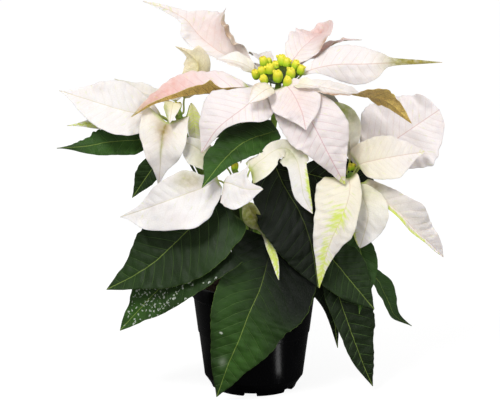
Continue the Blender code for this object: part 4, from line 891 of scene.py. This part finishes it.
def blobRings(centre, size, seed, rows=4, sides=7):
    # a lump: a sphere stretched to its size, turned at random and dented by a tenth
    draw = np.random.default_rng(seed)
    tilt = np.linspace(0, math.pi, rows + 2)[1:-1, None]
    turn = circle(sides) + 0 * tilt
    ball = (np.sin(tilt) * np.cos(turn), np.sin(tilt) * np.sin(turn), -np.cos(tilt) + 0 * turn)
    ball = np.stack(ball, axis=-1)
    ball = ball * draw.uniform(0.82, 1.12, ball.shape[:2])[..., None]
    turning, _ = np.linalg.qr(draw.normal(size=(3, 3)))
    turning = turning * np.sign(np.linalg.det(turning))
    size = np.array(size, float)
    ends = np.array(((0, 0, -1), (0, 0, 1))) * size @ turning.T + centre
    return ball * size @ turning.T + centre, ends[0], ends[1]


def makeSoil(material):
    # the soil fills the pot a little inside its wall; its top is bumpy and strewn with lumps
    hole, bottom, base, height = soil["hole"], soil["holeBottom"], soil["base"], soil["top"]
    lip = pot["rimHeight"] - pot["lipHeight"]
    inset, edge = pot["wall"] + soil["gap"], pot["rimRadius"] - pot["rimThick"] - soil["gap"]
    wall = [(pot["footRadius"] - 1, base), (pot["ridgeRadius"] - inset, 14.9), (wallRadius(57.5) - inset, 58),
            (wallRadius(lip - 3) - inset, lip - 3), (edge, lip + 0.5)]
    top = [(radius, height) for radius in np.linspace(edge, hole, 40)]
    rings = turnedRings([*wall, *top, (hole, bottom)], circle(120))
    right, ahead = rings[..., 0], rings[..., 1]
    onTop = np.abs(rings[..., 2] - height) < 0.01
    bumps = ripple(right, ahead, 3, 3, 9, 9) + 0.8 * ripple(right, ahead, 4, 14, 40, 5)
    rings[..., 2] += onTop * soil["roughness"] * bumps * smooth((np.hypot(right, ahead) - hole) / 3)
    shells = [plainShell(rings, (0, 0, base), (0, 0, bottom), "crumb", (0, 0, 0))]
    draw = np.random.default_rng(soil["seed"])
    for number in range(soil["crumbs"]):
        reach = math.sqrt(draw.uniform(0.03, 0.94)) * edge
        turn = draw.uniform(0, 2 * math.pi)
        white = draw.uniform() < soil["whiteShare"]
        if white:
            size = draw.uniform(0.5, 1.2) * np.array((1.0, 0.8, 0.7))
        else:
            size = draw.uniform(0.6, 2.0) * np.array((1.0, 0.7, 0.45))
        centre = (reach * math.cos(turn), reach * math.sin(turn), height + 0.5)
        look = (draw.uniform(0, 1), float(white), 0)
        shells.append(plainShell(*blobRings(centre, size, 100 + number), "crumb", look))
    makePiece("potting_compost", shells, material, "potting_soil", "soil", sharpAngle=50)
    print("made the soil with", soil["crumbs"], "crumbs")


# Poinsettia stem: green and smooth with a thin waxy skin, corky and brown near the soil
stemFinish = dict(green="#6f9a35", pale="#a9bf5c", cork="#85704e", patchSize=4, roughness=0.5)
stemForm = dict(sides=20, rowStep=1.5, scarHeight=0.35, scarReach=1.4, corkFrom=108, corkRange=45)


def stemMaterial():
    finish = stemFinish
    material, tree, shader, paint = startMaterial("poinsettia stem, waxy green skin", finish)
    way, _, _, cork = readings(tree, "stemWay")
    noise = addNode(tree, "TexNoise", {"Scale": 1 / finish["patchSize"], "Detail": 4.0, "Vector": way})
    patchy = addNode(tree, "Math", {0: noise, 1: 1.4, 2: 0.3})
    layers = (("pale", noise, 1.6, -0.5), ("cork", cork, patchy))
    bump = addNode(tree, "Bump", {"Strength": 0.4, "Distance": 0.4 * mm, "Height": noise})
    connect(tree, shader, {"Base Color": layered(tree, paint, "green", layers), "Normal": bump,
                           "Roughness": finish["roughness"], "IOR": 1.42})
    return material


def stemShell(stem, scars):
    # a tube along the stem's line, tapered from its lower to its upper radius, swollen a little at each scar
    form, line, travel = stemForm, stem["line"], stem["travel"]
    stations = np.linspace(0, travel[-1], int(travel[-1] / form["rowStep"]))
    centre = along(line, travel, stations)
    ahead = unit(np.gradient(centre, stations, axis=0))
    across = unit(np.cross(ahead, np.array([0.3, 1.0, 0.1])))
    over = np.cross(ahead, across)
    radius = np.interp(stations, (0, travel[-1]), stem["radius"])
    for height in scars:
        scar = np.interp(height, line[:, 2], travel)
        radius = radius + form["scarHeight"] * np.exp(-((stations - scar) / form["scarReach"]) ** 2)
    angles = circle(form["sides"])
    radius = radius[:, None] * (1 + 0.02 * np.cos(3 * angles + stations[:, None] / 30))
    rings = centre[:, None] + radius[..., None] * (np.cos(angles)[:, None] * across[:, None]
                                                   + np.sin(angles)[:, None] * over[:, None])
    cork = 1 - smooth((centre[:, 2, None] - form["corkFrom"]) / form["corkRange"]) + 0 * angles
    way = np.stack((4 * np.sin(angles) + 0 * cork, stations[:, None] + 0 * cork, cork), axis=-1)
    return (*skinRings(rings, centre[0], centre[-1] + ahead[-1] * 0.5), {"stemWay": withEnds(way)})


def makeStems(material, blades):
    # one tube for each stem, with a scar wherever a blade grows from it
    shells = []
    for name, stem in stems.items():
        scars = sorted({blade["height"] for blade in blades if blade["stem"] == name})
        shells.append(stemShell(stem, scars))
    makePiece("plant_stems", shells, material, "green_stem", "stems")
    print("made", len(stems), "stems")


# Cyathia, the true flowers: lime barrels with a yellow fringe and gland, matt and a little see-through
# Its dark green paint is painted shade in the gaps between the buds.
flowerFinish = dict(lime="#b4dc2c", paintedShade="#1c2f08", yellow="#ecdf3c", red="#c0602c", grainSize=1.5,
                    roughness=0.45)
# buds: place on the tilted disc to the right and to the front, and a share of the full size
topFlower = dict(centre=(25, -10, 330), tilt=16.0, drop=9.0, splay=0.30, radius=5.0, length=14.0,
                 buds=((-14, -17, 0.9), (-9, -21, 0.65), (3, -18, 1.0), (8, -15, 0.85), (-3, -10, 0.8),
                       (-8, 1, 1.0), (-22, 7, 0.8), (-16, 3, 0.85), (-14, 19, 0.85), (-1, 15, 1.05),
                       (11, 9, 1.0), (8, 24, 0.9), (16, -11, 0.85), (21, -2, 0.8)))
sideFlower = dict(centres=((-78, -14, 296), (99, -21, 234), (-20, -54, 242), (10, 74, 279)), tilt=10.0,
                  splay=1.2, radius=2.3, length=8.0,
                  buds=((1.8, 0.4, 1.0), (-1.0, 1.6, 0.9), (-0.8, -1.6, 0.9)))


def flowerMaterial():
    finish = flowerFinish
    material, tree, shader, paint = startMaterial("poinsettia cyathium, fleshy grown tissue", finish)
    place = addNode(tree, "TexCoord", {}).node.outputs["Object"]
    _, yellow, red, paintedShade = readings(tree, "budWay")
    scale = 1 / (finish["grainSize"] * mm)
    noise = addNode(tree, "TexNoise", {"Scale": scale, "Detail": 3.0, "Vector": place})
    grainy = addNode(tree, "Math", {0: noise, 1: 1.2, 2: 0.1})
    layers = (("paintedShade", paintedShade, grainy), ("yellow", yellow, 1.0), ("red", red, 1.0))
    bump = addNode(tree, "Bump", {"Strength": 0.4, "Distance": 0.4 * mm, "Height": noise})
    connect(tree, shader, {
        "Base Color": layered(tree, paint, "lime", layers), "Normal": bump, "Roughness": finish["roughness"],
        "Subsurface Weight": 0.2, "Subsurface Radius": (0.8, 1.0, 0.2), "Subsurface Scale": 1.0 * mm})
    return material


def localFrame(axis):
    # three directions square to each other, the last of them along the axis
    axis = unit(np.array(axis, float))
    across = unit(np.cross(np.array([0.0, 1.0, 0.0]), axis))
    return np.stack((across, np.cross(axis, across), axis))


def cyathiumShells(foot, axis, radius, length, seed):
    # a barrel turned from a profile with five shallow ribs, its mouth fringed by five lobes, filled with
    # anthers, and one cupped gland at its side
    draw = np.random.default_rng(seed)
    turned = localFrame(axis)
    profile = np.array((
        (0.50, 0.0), (0.74, 0.07), (0.92, 0.22), (1.0, 0.42), (0.98, 0.60), (0.90, 0.76), (0.78, 0.88),
        (0.62, 0.96), (0.44, 0.99), (0.30, 0.97), (0.18, 0.93)))
    wide, high = profile[:, :1], profile[:, 1:]
    angles = circle(20) + draw.uniform(0, 6.28)
    ribbed = 1 + 0.05 * np.cos(5 * angles) * np.sin(math.pi * np.clip(high, 0, 1))
    fringe = np.where(high > 0.9, 0.04, 0.0) * np.cos(5 * angles)
    barrel = (radius * wide * ribbed * np.cos(angles), radius * wide * ribbed * np.sin(angles),
              length * (high + fringe))
    rings = np.stack(barrel, axis=-1) @ turned + foot
    yellow = 0.9 * smooth((high - 0.35) / 0.55) + 0 * angles
    yellow[-3:] = 1.0
    # darker towards the foot of each bud: painted shade in the gaps between the buds
    paintedShade = np.clip(0.75 - high * 2.2, 0, 1) + 0 * angles
    colours = np.stack((yellow, 0 * yellow, paintedShade), axis=-1)
    mouth = foot + length * 0.90 * turned[2]
    shells = [(*skinRings(rings, foot, mouth), {"budWay": withEnds(colours)})]
    for number in range(4 if seed % 3 else 0):
        turn, reach = draw.uniform(0, 6.28), radius * draw.uniform(0.05, 0.35)
        place = (reach * math.cos(turn), reach * math.sin(turn), length * draw.uniform(0.93, 1.0))
        size = radius * draw.uniform(0.12, 0.2) * np.array((1, 1, 1.25))
        look = (1.0, 0.75 * (draw.uniform() < 0.12), 0)
        lump = blobRings(foot + place @ turned, size, seed * 31 + number, 3, 6)
        shells.append(plainShell(*lump, "budWay", look))
    turn = draw.uniform(0, 6.28)
    place = (0.95 * radius * math.cos(turn), 0.95 * radius * math.sin(turn), 0.80 * length)
    gland = blobRings(foot + place @ turned, radius * np.array((0.42, 0.34, 0.28)), seed + 9, 4, 8)
    shells.append(plainShell(*gland, "budWay", (1, 0, 0)))
    return shells


def flowerHead(centre, head, seed):
    # cyathia stand at chosen places on a disc that tilts to the front, the outer ones leaning out
    lean = math.radians(head["tilt"])
    axis = np.array([0.0, -math.sin(lean), math.cos(lean)])
    across = np.array([1.0, 0.0, 0.0])
    over = np.cross(axis, across)
    shells = []
    for number, (toRight, toFront, grown) in enumerate(head["buds"]):
        outward = toRight * across - toFront * over
        shells += cyathiumShells(np.array(centre) + outward, axis + head["splay"] * outward / 24,
                                 head["radius"] * grown, head["length"] * grown, seed + number)
    return shells


def makeFlowers(material):
    # the middle head stands on a turned green cushion that is tilted as its disc is
    lean, drop = math.radians(topFlower["tilt"]), topFlower["drop"]
    profile = [(1.5, -drop), (3.0, 1 - drop), (8.0, -4.5), (14.0, -1.6), (18.5, 0.0), (20.0, 1.0),
               (20.0, 2.2), (17.0, 3.8), (12.0, 4.5), (5.0, 5.2)]
    angles = circle(48)
    rings = turnedRings(profile, angles)
    rings[..., :2] *= (1 + 0.03 * np.cos(7 * angles))[:, None]
    tilted = np.array(((1, 0, 0), (0, math.cos(lean), math.sin(lean)), (0, -math.sin(lean), math.cos(lean))))
    ends = np.array(((0, 0, -drop), (0, 0, 5.5))) @ tilted + topFlower["centre"]
    # the cushion takes the dark green in full: painted shade under the buds
    shells = [plainShell(rings @ tilted + topFlower["centre"], *ends, "budWay", (0, 0, 1.6))]
    shells += flowerHead(topFlower["centre"], topFlower, 40)
    makePiece("flower_head_middle", shells, material, "flower_bud", "top_flower")
    shells = []
    for number, centre in enumerate(sideFlower["centres"]):
        shells += flowerHead(centre, sideFlower, 400 + 50 * number)
    makePiece("flower_heads_side", shells, material, "flower_bud")
    print("made the flower heads")


makePot(plasticMaterial())
makeSoil(soilMaterial())
bract, leaf = bractMaterial(), leafMaterial()
for stemName, group in rosettes.items():
    makeBlades(stemName + "_bract_", group, bractBlade, bract)
makeBlades("leaf_", leaves, leafBlade, leaf)
makeStems(stemMaterial(), [blade for group in (*rosettes.values(), leaves) for blade in group.values()])
makeFlowers(flowerMaterial())

# Stage, in metres: a pale matt floor, soft white light all round, a large key at the upper left, a fill
# low in front and a strip at the right. The card is a small white one lying by the pot, whose reflection
# is the tall highlight on the right of its wall.
pureWhite = (1.0, 1.0, 1.0, 1.0)
stage = dict(floor=6.0, floorColour="#fbfbfa", floorTone="#3c3c3c", floorGlow=1.12, floorShadow=0.20,
             skyStrength=0.49, aim=(0, 0, 0.2))
lamps = dict(key=dict(place=(-1.0, -2.1, 2.7), size=1.1, power=72.0),
             fill=dict(place=(0.7, -3.2, 0.9), size=1.6, power=24.0),
             strip=dict(place=(1.9, -0.85, 0.3), size=0.22, power=7.0),
             card=dict(place=(0.078, -0.082, 0.003), size=0.014, length=0.055, turn=0.81, power=0.011))


def makeFloor():
    # seen straight on the paper is almost burnt out to white, and it throws only its own grey on the plant
    half = stage["floor"]
    mesh = bpy.data.meshes.new("floor")
    corners = [(-half, -half, 0), (half, -half, 0), (half, half, 0), (-half, half, 0)]
    mesh.from_pydata(corners, [], [(0, 1, 2, 3)])
    material, tree, shader, paint = startMaterial("studio floor, matt white paper", stage)
    connect(tree, shader, {"Base Color": paint["floorTone"], "Roughness": 0.9})
    paper = addNode(tree, "BsdfDiffuse", {"Color": paint["floorColour"]})
    glow = addNode(tree, "Emission", {"Color": pureWhite, "Strength": stage["floorGlow"]})
    shown = addNode(tree, "MixShader", {0: stage["floorShadow"], 1: glow, 2: paper})
    seen = addNode(tree, "LightPath", {}).node.outputs["Is Camera Ray"]
    whole = addNode(tree, "MixShader", {0: seen, 1: shader.outputs[0], 2: shown})
    connect(tree, tree.nodes["Material Output"], {"Surface": whole})
    mesh.materials.append(material)
    addObject("floor", mesh)


def makeLights():
    # an even white sky, and white lamps that look at one point, but for the card
    world = bpy.data.worlds.new("soft white room")
    bpy.context.scene.world = world
    world.use_nodes = True
    sky = {"Color": pureWhite, "Strength": stage["skyStrength"]}
    connect(world.node_tree, world.node_tree.nodes["Background"], sky)
    for name, lamp in lamps.items():
        light = bpy.data.lights.new(name, "AREA")
        light.shape, light.size, light.energy = "DISK", lamp["size"], lamp["power"]
        aim = np.array(stage["aim"]) - lamp["place"]
        turn = (math.acos(-aim[2] / np.linalg.norm(aim)), 0, math.atan2(-aim[0], aim[1]))
        if name == "card":   # it looks straight up
            light.shape, light.size_y = "RECTANGLE", lamp["length"]
            turn = (math.pi, 0, lamp["turn"])
        addObject(name, light, lamp["place"], turn)


makeFloor()
makeLights()
print("made the stage with", len(lamps), "lamps")

# Camera: level with the photograph's view, 13.4 degrees above the horizon, almost 3 m away
camera = dict(place=(-0.004, -2.899, 0.8885), pitch=76.6, lens=208.3, sensor=36.0)
view = bpy.data.cameras.new("camera")
view.lens, view.sensor_width, view.clip_end = camera["lens"], camera["sensor"], 50.0
watcher = addObject("camera", view, camera["place"], (math.radians(camera["pitch"]), 0, 0))
bpy.context.scene.camera = watcher
bpy.context.scene.view_settings.view_transform = "Standard"
